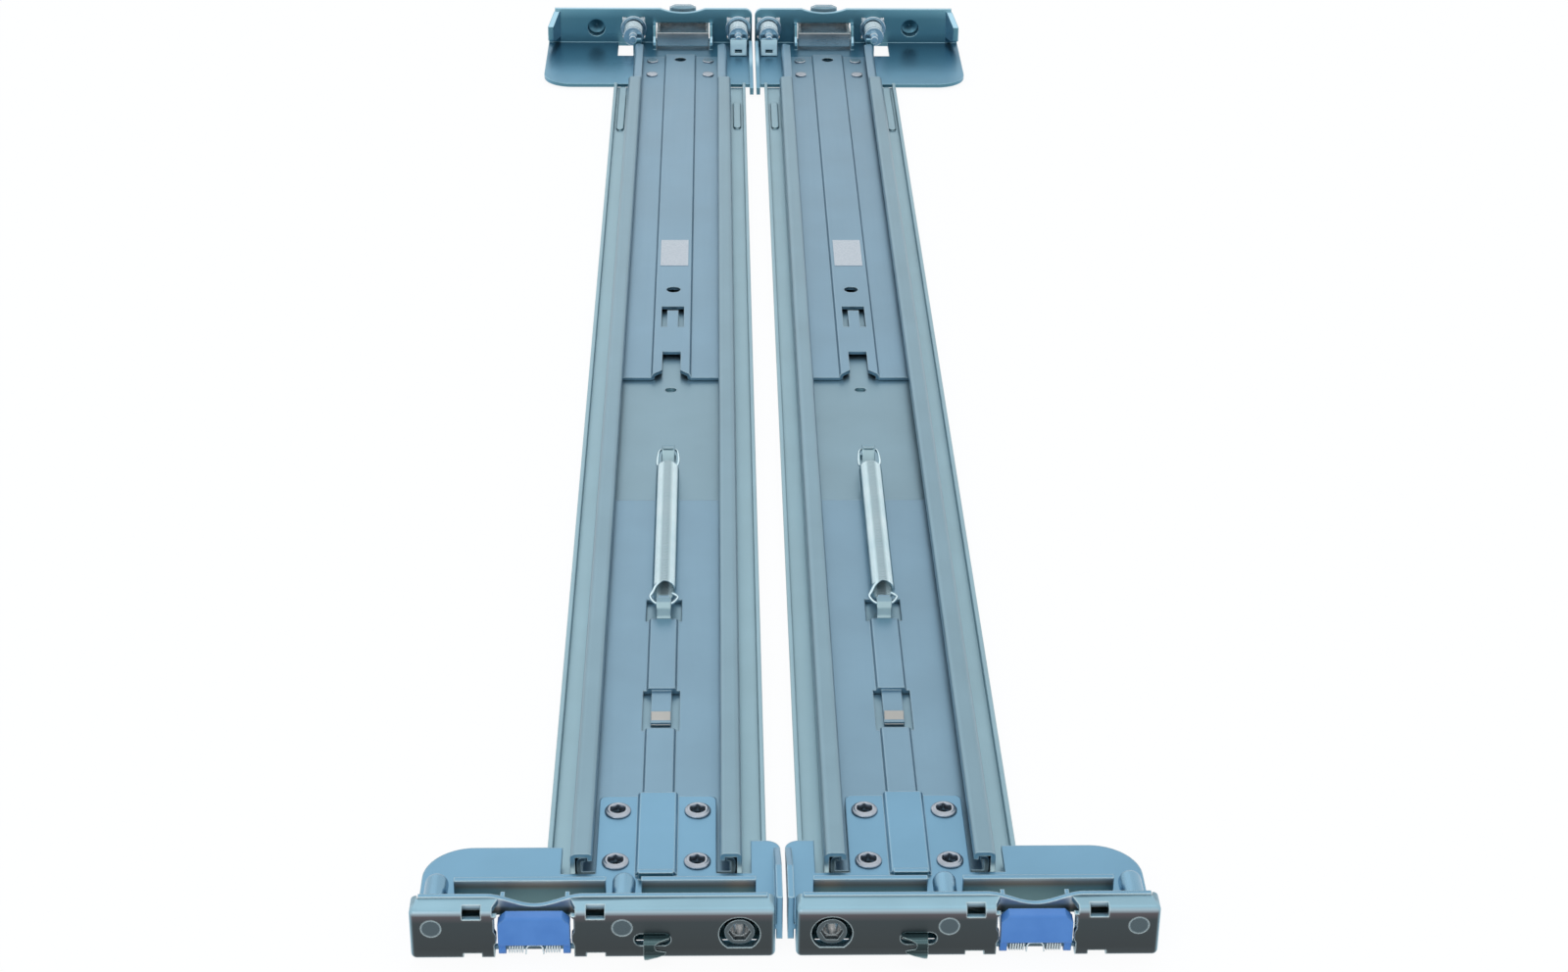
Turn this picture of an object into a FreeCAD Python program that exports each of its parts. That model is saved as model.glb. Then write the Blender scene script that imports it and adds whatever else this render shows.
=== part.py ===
import FreeCAD, Part
import os
import Sketcher

# A handed pair of sliding rack rails.  The right rail is modelled piece by piece and the left rail
# is its mirror image.  Inside a rail, X runs outward from the middle of its channel, Y rearward
# from the front face of its cover and Z up from the floor that the pair lies on.

doc = FreeCAD.newDocument("RackRailPair")
sheet = doc.addObject("Spreadsheet::Sheet", "Sizes")

SIZES = [
    # stock and fits
    ("channel_stock", 1.2, "sheet thickness of the channels"),
    ("bracket_stock", 1.5, "sheet thickness of the brackets and the cover"),
    ("thin_stock", 1.0, "sheet thickness of small latch parts"),
    ("slip", 0.1, "gap between flat faces that slide"),
    ("side_gap", 0.3, "gap beside and above what slides"),
    ("turning_gap", 0.05, "radial gap round axles"),
    ("rail_centre", 30.8, "from the middle of the pair to the middle of one channel"),
    ("hole_pitch", 44.45, "one rack unit between like holes of a post"),
    ("hole_step", 15.875, "between the first two holes of a rack unit"),
    ("pin_height", 9.0, "height of every rack pin"),
    # fixed channels
    ("base_half", 26.9, "half width of the base channel"),
    ("base_front", 27.5, "front end of the base channel"),
    ("base_rear", 573.0, "rear end of the base channel"),
    ("rim_height", 3.4, "height of the rims of the base channel"),
    ("stop_width", 2.8, "width of the embossed stops"),
    ("stop_rise", 0.6, "rise of the embossed stops"),
    ("outer_stop_front", 525.0, "front end of the outer stop"),
    ("inner_stop_front", 527.0, "front end of the inner stop"),
    ("inner_stop_rear", 555.0, "rear end of the inner stop"),
    ("guide_half", 20.8, "half width of the guide channel"),
    ("guide_front", 28.7, "front end of the guide channel"),
    ("guide_top", 9.4, "height of the lips of the guide channel"),
    ("lip_width", 5.3, "width of a lip"),
    ("lip_drop", 2.2, "height of the turned edge of a lip"),
    ("bend", 1.5, "outside radius of the channel bends"),
    ("tab_width", 3.2, "width of the two spring tabs"),
    ("rear_tab", 240.4, "front face of the spring tab of the guide channel"),
    ("web_hole", 3.6, "diameter of the hole in the guide channel"),
    ("web_hole_place", 293.0, "place of the hole in the guide channel"),
    # front slide plate
    ("slide_front", 29.2, "front end of the slide plate"),
    ("slide_rear", 216.5, "rear end of the slide plate"),
    ("slide_lip", 2.2, "width of the turned edge of what slides"),
    ("ridge_half", 4.0, "half width of the slide plate's ridge"),
    ("ridge_rise", 0.9, "rise of the slide plate's ridge"),
    ("window_half", 4.9, "half width of the slide plate's windows"),
    ("tongue_window_front", 91.0, "front edge of the tongue window"),
    ("tongue_window_rear", 110.4, "rear edge of the tongue window"),
    ("tongue_half", 2.7, "half width of the window tongue"),
    ("tongue_tip", 95.0, "tip of the window tongue"),
    ("hook_window_front", 146.2, "front edge of the hook window"),
    ("hook_window_rear", 158.0, "rear edge of the hook window"),
    ("front_tab", 150.4, "front face of the slide plate's spring hook"),
    # return spring
    ("spring_outer", 6.4, "outside diameter of the return spring"),
    ("spring_front", 157.5, "front end of the return spring's coil"),
    ("spring_rear", 231.0, "rear end of the return spring's coil"),
    ("spring_wire", 0.8, "wire of the return spring"),
    ("spring_loop", 2.9, "half width of the end loops of the return spring"),
    # front bracket
    ("front_tongue_half", 14.7, "half width of the bracket's tongue"),
    ("front_tongue_rear", 59.0, "rear edge of the bracket's tongue"),
    ("front_ridge_half", 5.0, "half width of the tongue's ridge"),
    ("front_ridge_rise", 1.2, "rise of the tongue's ridge"),
    ("notch_outer", 23.0, "outer side of the notches that the lips stand in"),
    ("notch_front", 26.4, "front edge of the notches that the lips stand in"),
    ("ear_outer", 56.3, "outer edge of both ears"),
    ("front_ear_rear", 37.2, "rear edge of the front ear"),
    ("ear_corner", 12.0, "corner radius of the ears"),
    ("inner_edge", 30.2, "inner edge of both brackets"),
    ("front_tab_rear", 39.7, "rear edge of the front bracket's inner tab"),
    ("tab_corner", 3.5, "corner radius of the inner tab"),
    ("flange_front", 14.5, "front face of the bracket's upright flange"),
    ("flange_top", 12.0, "top of the bracket's upright flange"),
    ("side_wall_foot", 0.9, "height of the foot of the front bracket's side wall"),
    ("side_wall_foot_length", 9.0, "length of that foot"),
    ("flange_outer", 47.6, "outer end of the upright flange"),
    ("flange_inner", 24.0, "inner end of the upright flange"),
    ("pin_gap", 4.2, "half width of the gap in the flange at the inner pin"),
    ("strip_drop", 2.5, "how far the strips under the pins lie below the bracket"),
    ("rivet_half", 9.95, "half spacing of the front rivets across the rail"),
    ("rivet_front", 31.1, "place of the front pair of rivets"),
    ("rivet_rear", 52.4, "place of the rear pair of rivets"),
    ("rivet_head", 6.6, "head diameter of the front rivets"),
    ("rivet_shank", 4.8, "shank diameter of the front rivets"),
    ("rivet_bore", 3.2, "bore of the front rivets"),
    ("rivet_rise", 0.9, "height of the front rivet heads"),
    # cover
    ("cover_inner", 26.9, "inner end of the cover's face"),
    ("cover_outer", 55.4, "outer end of the cover's face"),
    ("cover_height", 14.0, "height of the cover"),
    ("cover_depth", 5.0, "depth of the cover's folds"),
        ("cover_bend", 1.4, "outside radius of the cover's folds"),
    ("latch_middle", 27.95, "middle of the latch across the rail"),
    ("opening_half", 9.3, "half width of the latch opening"),
    ("opening_top", 12.5, "top of the latch opening"),
    ("fold_window_width", 4.3, "width of the windows over the folds"),
    ("fold_window_outer", 42.4, "middle of the outer fold windows"),
    ("fold_window_inner", 13.6, "middle of the inner fold windows"),
    ("fold_window_depth", 2.5, "depth of the windows over the folds"),
    ("slot_middle", 0.35, "middle of the hook slot across the rail"),
    ("slot_height", 3.4, "height of the hook slot"),
    ("slot_length", 8.5, "length of the hook slot"),
    ("slot_level", 5.5, "height of the hook slot's middle"),
    ("insert_place", 20.0, "middle of the threaded insert, towards the inner edge"),
    ("insert_level", 7.0, "height of the threaded insert"),
    ("insert_hole", 9.6, "diameter of the D-shaped hole"),
    ("insert_flat", 3.9, "from the middle of the D-shaped hole to its flat"),
    ("insert_outer", 7.1, "outside diameter of the insert's head"),
    ("insert_neck", 5.6, "outside diameter of the insert's neck"),
    ("insert_thread", 4.2, "bore of the insert, tapped for a 5 mm screw"),
    ("insert_socket", 4.6, "width of the insert's hexagonal socket"),
    ("insert_length", 8.4, "length of the threaded insert"),
    ("backing_top", 13.4, "top of the backing plate"),
    ("backing_bottom", 1.7, "bottom of the backing plate"),
    ("saddle_radius", 52.0, "radius of the finger dip in the backing plate"),
    ("saddle_dip", 1.8, "depth of the finger dips"),
    ("latch_window_top", 9.2, "top of the latch window in the backing plate"),
    ("front_pin", 5.6, "diameter of the front pins"),
    ("front_pin_shank", 4.6, "diameter of the shanks of the front pins"),
    ("front_pin_end", 19.4, "rear end of the front pins"),
    ("hook_width", 4.0, "width of the catch hook"),
    ("hook_reach", 4.0, "how far the catch hook comes out of the cover"),
    ("hook_foot", 0.7, "height of the catch hook's lower end"),
    ("hook_top", 10.4, "top of the catch hook"),
    # front latch
    ("button_half", 8.4, "half width of the release button"),
    ("button_bottom", 4.1, "lower edge of the release button's face"),
    ("button_top", 12.1, "top of the release button"),
    ("button_bevel", 1.8, "bevel of the button's upper corners"),
    ("button_front", 0.5, "how far the button stands out of the cover"),
    ("button_thick", 3.1, "thickness of the button"),
    ("button_arm", 1.7, "width of the button's arms"),
    ("axle_back", 2.3, "depth of the latch axle behind the cover's face"),
    ("axle_level", 2.1, "height of the latch axle"),
    ("axle", 1.4, "diameter of the latch axles"),
    ("hub", 3.4, "diameter of the button's hubs"),
    ("coil", 3.2, "outside diameter of the latch spring coils"),
    ("coil_wire", 0.5, "wire of the latch springs"),
    ("coil_length", 4.2, "length of each latch spring coil"),
    ("clip_width", 3.4, "width of the spring clip"),
    ("arm_top", 12.9, "top of the latch arms"),
    ("arm_back", 9.0, "rear face of the latch arms"),
    # rear extension
    ("extension_front", 299.5, "front edge of the rear extension"),
    ("extension_web_rear", 603.0, "rear edge of the extension's web"),
    ("extension_rear", 607.5, "rear end of the extension's flanges"),
    ("wide_lip", 3.7, "width of the extension's flange behind the guide channel"),
    ("wide_ridge_half", 6.5, "half width of the extension's ridge"),
    ("wide_ridge_rise", 1.0, "rise of the extension's ridge"),
    ("stop_notch_half", 3.0, "half width of the notch in the extension"),
    ("stop_notch_rear", 317.0, "rear edge of the notch in the extension"),
    ("u_slot_half", 3.8, "half width of the U-shaped slot"),
    ("u_slot_front", 336.0, "front edge of the U-shaped slot"),
    ("u_slot_rear", 352.5, "rear edge of the U-shaped slot"),
    ("u_tongue_half", 1.9, "half width of the tongue in the U-shaped slot"),
    ("stop_notch_flare", 3.6, "length of the flared mouth of the notch"),
    ("extension_hole", 4.8, "diameter of the holes in the extension"),
    ("extension_hole_front", 366.2, "place of the front hole in the extension"),
    ("extension_hole_rear", 597.0, "place of the rear hole in the extension"),
    ("label_width", 9.8, "width of the blank label"),
    ("label_length", 22.4, "length of the blank label"),
    ("label_front", 386.2, "front edge of the blank label"),
    ("label_thick", 0.15, "thickness of the blank label"),
    ("rear_rivet_half", 11.6, "half spacing of the rear rivets across the rail"),
    ("rear_rivet_front", 581.3, "place of the front pair of rear rivets"),
    ("rear_rivet_rear", 597.5, "place of the rear pair of rear rivets"),
    ("rear_rivet_head", 4.6, "head diameter of the rear rivets"),
    ("rear_rivet_shank", 3.2, "shank diameter of the rear rivets"),
    # rear bracket
    ("rear_base_front", 574.0, "front edge of the rear bracket"),
    ("rear_face", 624.0, "front face of the rear bracket's upright plate"),
    ("rear_top", 17.4, "top of the rear bracket"),
    ("rear_plate_outer", 53.4, "outer end of the upright plate"),
    ("rear_window_width", 6.6, "width of the window in the rear bracket"),
    ("rear_window_front", 607.4, "front edge of the window in the rear bracket"),
    ("rear_window_outer", 23.3, "middle of the window in the rear bracket"),
    ("lug_slot", 3.0, "width of the small slot in the inner lug"),
    ("rear_lip", 8.0, "length of the lip at the outer end of the upright plate"),
    ("rear_lip_flare", 2.7, "how far that lip flares outward"),
    ("rear_side", 60.0, "length of the inner side flange"),
    ("rear_hole", 7.4, "diameter of the open hole in the upright plate"),
    ("cutout_outer", 10.6, "outer side of the latch cut-out"),
    ("cutout_inner", 12.2, "inner side of the latch cut-out"),
    ("cutout_top", 11.3, "top of the latch cut-out"),
    ("cheek_length", 9.0, "length of the cheeks beside the rear latch"),
    ("stud", 6.0, "diameter of the rear studs in their collars"),
    ("stud_end", 5.6, "diameter of the rear studs beyond their collars"),
    ("stud_step", 4.5, "from the plate's front face to the thinner end of the rear studs"),
    ("stud_neck", 3.0, "diameter of the neck that is staked in its lug"),
    ("stud_tip", 2.4, "diameter of the tip of the rear studs"),
    ("stud_cone", 4.0, "length of the cone of the rear studs"),
    ("stud_length", 16.0, "reach of the rear studs behind the plate's front face"),
    ("stud_seat", 614.0, "rear face of the heads that the collar springs stand on"),
    ("stud_head", 1.0, "thickness of those heads"),
    ("lug_front", 609.0, "front face of the lugs that hold the studs"),
    ("lug_width", 7.0, "width of the lugs"),
    ("lug_top", 9.3, "top of the lugs"),
    ("collar", 9.2, "width of the square collars"),
    ("collar_fit", 0.1, "gap round the square collars in the plate"),
    ("collar_rear", 3.4, "reach of the collars behind the plate's front face"),
    ("collar_corner", 1.2, "corner radius of the square collars"),
    ("collar_flange", 11.0, "diameter of the flange of the collars"),
    ("collar_spring", 8.2, "outside diameter of the collar springs"),
    ("collar_wire", 0.8, "wire of the collar springs"),
    # rear latch
    ("rear_axle_front", 4.5, "from the upright plate to the rear latch axle"),
    ("rear_axle_level", 5.2, "height of the rear latch axle"),
    ("lever_gap", 0.4, "gap between the rear latch and its cheeks"),
    ("lever_hub", 4.0, "diameter of the rear latch's hubs"),
    ("pad_back", 3.6, "from the upright plate's front face to the finger pad"),
    ("pad_top", 17.8, "top of the finger pad"),
    ("pad_half", 5.6, "half width of the finger pad"),
    ("bar_height", 1.4, "height of the rear latch's cross bars"),
    ("lever_front", 3.0, "from the rear latch axle to the front of the lever"),
]


class Measure:
    """A length that carries its number and the sheet formula that it comes from."""

    def __init__(self, number, formula):
        self.number = number
        self.formula = formula

    def __add__(self, other):
        other = measure(other)
        return Measure(self.number + other.number, f"({self.formula} + {other.formula})")

    def __sub__(self, other):
        other = measure(other)
        return Measure(self.number - other.number, f"({self.formula} - {other.formula})")

    def __mul__(self, other):
        other = measure(other)
        return Measure(self.number * other.number, f"({self.formula} * {other.formula})")

    def __truediv__(self, other):
        other = measure(other)
        return Measure(self.number / other.number, f"({self.formula} / {other.formula})")

    def __neg__(self):
        return Measure(-self.number, f"(0 - {self.formula})")

    def __radd__(self, other):
        return measure(other) + self

    def __rsub__(self, other):
        return measure(other) - self

    def __rmul__(self, other):
        return measure(other) * self


def measure(value):
    """A Measure from a Measure or a plain number."""
    if isinstance(value, Measure):
        return value
    return Measure(float(value), f"{float(value):.6f}")


def size(alias):
    """The Measure of one cell of the sheet."""
    return Measure(float(sheet.get(alias)), f"Sizes.{alias}")


for row, (alias, number, note) in enumerate(SIZES, start=1):
    sheet.set(f"A{row}", note)
    sheet.set(f"B{row}", str(number))
    sheet.setAlias(f"B{row}", alias)
doc.recompute()

# Levels and places that several pieces share.
stock = size("channel_stock")
plate = size("bracket_stock")
slip = size("slip")
gap = size("side_gap")
web_floor = stock
web_top = stock * 2
slide_floor = web_top + slip
slide_top = slide_floor + stock
bracket_top = slide_top + plate
slide_half = size("guide_half") - stock - gap
flange_height = size("guide_top") - stock - gap
rear_base_floor = slide_floor - plate
rear_plate_back = size("rear_face") + plate
pad_face = size("rear_face") + size("pad_back")
pad_rear = pad_face + size("channel_stock")
frame_middle = (size("rear_face") + size("stud_length") - size("hook_reach")) / 2

# The rack holes lie on one lattice, counted from the middle of the pair.
first_hole = measure(6.45)
inner_stud = first_hole - size("rail_centre")
inner_pin = first_hole + size("hole_step") * 2 - size("rail_centre")
outer_stud = first_hole + size("hole_pitch") - size("rail_centre")
open_hole = outer_stud + size("hole_step")
outer_pin = inner_pin + size("hole_pitch")


class Piece:
    """One sub-part as a PartDesign body, built from sketches on its own origin planes."""

    NORMALS = {"XY": 1, "XZ": -1, "YZ": 1}

    def __init__(self, label):
        self.label = label
        self.body = doc.addObject("PartDesign::Body", label)
        self.body.Label = label
        self.body.setExpression("Placement.Base.x", "Sizes.rail_centre")
        self.body.setExpression("Placement.Base.y", (-frame_middle).formula)
        self.count = 0

    def sketch(self, plane, start):
        """An empty sketch on an origin plane, moved to start along the plane's axis."""
        self.count += 1
        sketch = self.body.newObject("Sketcher::SketchObject", f"{self.label}_sketch{self.count}")
        role = f"{plane}_Plane"
        origin = [item for item in self.body.Origin.OriginFeatures if item.Role == role][0]
        sketch.AttachmentSupport = [(origin, "")]
        sketch.MapMode = "FlatFace"
        offset = measure(start) * self.NORMALS[plane]
        sketch.AttachmentOffset = FreeCAD.Placement(
            FreeCAD.Vector(0, 0, offset.number), FreeCAD.Rotation()
        )
        sketch.setExpression("AttachmentOffset.Base.z", offset.formula)
        return sketch

    def fix(self, sketch, kind, first, place, value):
        """One distance from the sketch's origin to a point, bound to its formula."""
        value = measure(value)
        index = sketch.addConstraint(
            Sketcher.Constraint(kind, -1, 1, first, place, value.number)
        )
        sketch.setExpression(f"Constraints[{index}]", value.formula)

    def outline(self, sketch, points):
        """A closed polygon through points, each held by its two distances."""
        points = [(measure(a), measure(b)) for a, b in points]
        vectors = [FreeCAD.Vector(a.number, b.number, 0) for a, b in points]
        first = sketch.GeometryCount
        total = len(points)
        for index in range(total):
            following = (index + 1) % total
            sketch.addGeometry(Part.LineSegment(vectors[index], vectors[following]), False)
        for index in range(total):
            following = (index + 1) % total
            sketch.addConstraint(
                Sketcher.Constraint("Coincident", first + index, 2, first + following, 1)
            )
        for index, (a, b) in enumerate(points):
            self.fix(sketch, "DistanceX", first + index, 1, a)
            self.fix(sketch, "DistanceY", first + index, 1, b)

    def circle(self, sketch, across, up, diameter):
        """A circle held by its middle and its diameter."""
        across, up, diameter = measure(across), measure(up), measure(diameter)
        middle = FreeCAD.Vector(across.number, up.number, 0)
        shape = Part.Circle(middle, FreeCAD.Vector(0, 0, 1), diameter.number / 2)
        index = sketch.addGeometry(shape, False)
        self.fix(sketch, "DistanceX", index, 3, across)
        self.fix(sketch, "DistanceY", index, 3, up)
        held = sketch.addConstraint(Sketcher.Constraint("Diameter", index, diameter.number))
        sketch.setExpression(f"Constraints[{held}]", diameter.formula)

    def volume(self):
        """The volume so far."""
        return 0.0 if self.body.Shape.isNull() else self.body.Shape.Volume

    def feature(self, kind, sketch, plane, depth):
        """A Pad or Pocket that runs from the sketch in the plane's positive direction."""
        before = self.volume()
        item = self.body.newObject(f"PartDesign::{kind}", f"{self.label}_{kind}{self.count}")
        item.Profile = sketch
        depth = measure(depth)
        item.Length = depth.number
        item.setExpression("Length", depth.formula)
        runs_back = self.NORMALS[plane] < 0
        item.Reversed = runs_back if kind == "Pad" else not runs_back
        doc.recompute()
        change = self.volume() - before
        if (kind == "Pad") != (change > 0):
            raise RuntimeError(f"{item.Name} changed the volume by {change:.3f}")
        return item

    def add(self, plane, start, depth, *outlines):
        """A Pad of polygons."""
        sketch = self.sketch(plane, start)
        for points in outlines:
            self.outline(sketch, points)
        return self.feature("Pad", sketch, plane, depth)

    def cut(self, plane, start, depth, *outlines):
        """A Pocket of polygons."""
        sketch = self.sketch(plane, start)
        for points in outlines:
            self.outline(sketch, points)
        return self.feature("Pocket", sketch, plane, depth)

    def add_rounds(self, plane, start, depth, *circles):
        """A Pad of circles, each given as across, up and diameter; one inside another is a ring."""
        sketch = self.sketch(plane, start)
        for across, up, diameter in circles:
            self.circle(sketch, across, up, diameter)
        return self.feature("Pad", sketch, plane, depth)

    def cut_rounds(self, plane, start, depth, *circles):
        """A Pocket of circles."""
        sketch = self.sketch(plane, start)
        for across, up, diameter in circles:
            self.circle(sketch, across, up, diameter)
        return self.feature("Pocket", sketch, plane, depth)

    def soften(self, radius, axis, spots, kind="Fillet"):
        """A Fillet or Chamfer of the edges that run along axis through spots, in the other two
        directions' order."""
        others = [letter for letter in "xyz" if letter != axis]
        base = self.body.Tip
        names = []
        for number, edge in enumerate(base.Shape.Edges, start=1):
            if edge.Degenerated or not isinstance(edge.Curve, Part.Line):
                continue
            if abs(getattr(edge.tangentAt(edge.FirstParameter), axis)) < 0.999:
                continue
            point = edge.Vertexes[0].Point
            for a, b in spots:
                near_a = abs(getattr(point, others[0]) - measure(a).number) < 0.01
                near_b = abs(getattr(point, others[1]) - measure(b).number) < 0.01
                if near_a and near_b:
                    names.append(f"Edge{number}")
        if not names:
            raise RuntimeError(f"{self.label} has no edge to soften at {axis}")
        self.count += 1
        item = self.body.newObject(f"PartDesign::{kind}", f"{self.label}_{kind}{self.count}")
        item.Base = (base, sorted(set(names)))
        radius = measure(radius)
        property_name = "Radius" if kind == "Fillet" else "Size"
        setattr(item, property_name, radius.number)
        item.setExpression(property_name, radius.formula)
        doc.recompute()
        return item


def box(left, right, low, high):
    """The four corners of a rectangle."""
    return [(left, low), (right, low), (right, high), (left, high)]


def both_sides(half):
    """A closed outline from its right half, whose first and last points lie on the middle line."""
    return half + [(-measure(a), b) for a, b in reversed(half[1:-1])]


def channel_outline(half, floor, top, turned, drop):
    """A C-shaped section: web, walls, lips turned inward and, where drop isn't nought, their
    turned edges."""
    edge = half - turned
    lip = [(edge, top), (edge, top - stock)]
    if drop is not None:
        low = top - drop
        lip = [(edge, top), (edge, low), (edge + stock, low), (edge + stock, top - stock)]
    return [
        (measure(0), floor),
        (half, floor),
        (half, top),
        *lip,
        (half - stock, top - stock),
        (half - stock, floor + stock),
        (measure(0), floor + stock),
    ]


# Base channel: a flat channel with low rims and two embossed stops at its rear end.
def base_channel():
    piece = Piece("right_base_channel")
    half, rim = size("base_half"), size("rim_height")
    length = size("base_rear") - size("base_front")
    section = both_sides([
        (measure(0), measure(0)),
        (half, measure(0)),
        (half, rim),
        (half - stock, rim),
        (half - stock, stock),
        (measure(0), stock),
    ])
    piece.add("XZ", size("base_front"), length, section)
    piece.soften(size("bend"), "y", [(half, 0), (-half, 0)])
    strip = (size("guide_half") + half - stock) / 2
    width, rise = size("stop_width") / 2, size("stop_rise")
    outer = box(strip - width, strip + width, size("outer_stop_front"), size("base_rear") - 1)
    inner = box(
        -strip - width, -strip + width, size("inner_stop_front"), size("inner_stop_rear")
    )
    piece.add("XY", stock, rise, outer, inner)
    corners = []
    for left, right, front, rear in (
        (strip - width, strip + width, size("outer_stop_front"), size("base_rear") - 1),
        (-strip - width, -strip + width, size("inner_stop_front"), size("inner_stop_rear")),
    ):
        corners += [(left, front), (right, front), (left, rear), (right, rear)]
    piece.soften(width * 0.9, "z", corners)
    return piece


# Guide channel: the lips that hold both slides down, and the lanced tab that the spring pulls on.
def guide_channel():
    piece = Piece("right_guide_channel")
    half, top = size("guide_half"), size("guide_top")
    turned, drop = size("lip_width"), size("lip_drop")
    section = both_sides(channel_outline(half, web_floor, top, turned, drop))
    piece.add("XZ", size("guide_front"), size("base_rear") - size("guide_front"), section)
    edge = half - turned
    outside = [(half, web_floor), (half, top), (edge, top)]
    piece.soften(size("bend"), "y", outside[:2] + [(-a, b) for a, b in outside[:2]])
    piece.soften(stock - slip, "y", [(edge, top), (-edge, top)])
    tab = size("tab_width") / 2
    place = size("rear_tab")
    tab_top = spring_level() + 1.6
    blank = tab_top - web_top
    opening = box(-tab - 0.6, tab + 0.6, place + stock, place + stock + blank)
    piece.cut("XY", web_floor, stock, opening)
    shoulder = spring_level() - size("spring_wire")
    piece.add("YZ", -tab, tab * 2, [
        (place - 3, web_floor),
        (place - 1.5, web_floor),
        (place + stock, shoulder - stock),
        (place + stock, tab_top),
        (place, tab_top),
        (place, shoulder),
        (place - 3, web_top),
    ])
    piece.cut_rounds("XY", web_floor, stock, (0, size("web_hole_place"), size("web_hole")))
    return piece


def spring_level():
    """Height of the return spring's axis, just above the slide plate's ridge."""
    return slide_top + gap + size("spring_outer") / 2


def slide_section():
    """Section of both slides, which nest under the lips of the guide channel."""
    return both_sides(
        channel_outline(slide_half, slide_floor, flange_height, size("slide_lip"), None)
    )


def raise_ridge(piece, half, rise, front, rear):
    """A pressed ridge along the web: raised on top and hollow below."""
    piece.add("XY", slide_top, rise, box(-half, half, front, rear))
    inside = half - stock / 2
    piece.cut("XY", slide_floor, rise, box(-inside, inside, front + stock, rear - stock))
    piece.soften(
        rise * 0.6, "y", [(half, slide_top + rise), (-half, slide_top + rise)], "Chamfer"
    )


# Front slide plate: carries the front bracket, with a tongue window, a hook window and the hook.
def front_slide_plate():
    piece = Piece("right_front_slide_plate")
    front, rear = size("slide_front"), size("slide_rear")
    piece.add("XZ", front, rear - front, slide_section())
    bends = [(slide_half, slide_floor), (slide_half, flange_height)]
    piece.soften(size("bend"), "y", bends + [(-a, b) for a, b in bends])
    half, rise = size("ridge_half"), size("ridge_rise")
    ridge_front = size("front_tongue_rear") + 0.5
    raise_ridge(piece, half, rise, ridge_front, size("tongue_window_front"))
    raise_ridge(piece, half, rise, size("tongue_window_rear"), size("hook_window_front"))
    window = size("window_half")
    tongue = size("tongue_half")
    window_front, window_rear = size("tongue_window_front"), size("tongue_window_rear")
    tip = size("tongue_tip")
    piece.cut("XY", slide_floor, stock, [
        (-window, window_front),
        (window, window_front),
        (window, window_rear),
        (tongue, window_rear),
        (tongue, tip),
        (-tongue, tip),
        (-tongue, window_rear),
        (-window, window_rear),
    ])
    piece.add("YZ", -tongue, tongue * 2, [
        (tip, slide_floor),
        (tip + stock * 4, slide_floor),
        (tip + stock * 4, slide_top),
        (tip + stock * 3.4, slide_top + stock * 0.8),
        (tip + stock * 2.7, slide_top + stock * 0.8),
        (tip, slide_floor + slip),
    ])
    piece.cut(
        "XY",
        slide_floor,
        stock,
        box(-window, window, size("hook_window_front"), size("hook_window_rear")),
    )
    tab = size("tab_width") / 2
    hook_top = spring_level() + 1.8
    place = size("front_tab")
    root = size("hook_window_front")
    shoulder = spring_level() - size("spring_wire")
    piece.add("YZ", -tab, tab * 2, [
        (root - 0.5, slide_floor),
        (root + stock, slide_floor),
        (place + stock, shoulder - stock),
        (place + stock, hook_top),
        (place, hook_top),
        (place, shoulder),
        (root - 0.5, slide_top),
    ])
    for across in (-1, 1):
        for along in ("rivet_front", "rivet_rear"):
            place = (across * size("rivet_half"), size(along), size("rivet_shank"))
            piece.cut_rounds("XY", slide_floor, stock, place)
    return piece


# Return spring: a close-wound extension spring with a long flat loop at each end, round the tabs.
def return_spring():
    piece = Piece("right_return_spring")
    level = spring_level()
    outer, wire, loop = size("spring_outer"), size("spring_wire"), size("spring_loop")
    start, end = size("spring_front"), size("spring_rear")
    piece.add_rounds("XZ", start, end - start, (0, level, outer))
    bore = outer - wire * 2
    piece.cut_rounds("XZ", start + wire, end - start - wire * 2, (0, level, bore))
    front_end = size("front_tab") - wire - gap
    rear_end = size("rear_tab") + stock + gap + wire
    for near, far in ((front_end, start + wire / 2), (end - wire / 2, rear_end)):
        piece.add("XY", level - wire / 2, wire, box(-loop, loop, near, far))
        inside = loop - wire
        hole = box(-inside, inside, near + wire, far - wire)
        piece.cut("XY", level - wire / 2, wire, hole)
        corners = [(a, b) for a in (-loop, loop) for b in (near, far)]
        outer_end = near if near.number < start.number else far
        piece.soften(wire * 2, "z", [c for c in corners if c[1] is outer_end])
    return piece


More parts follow.
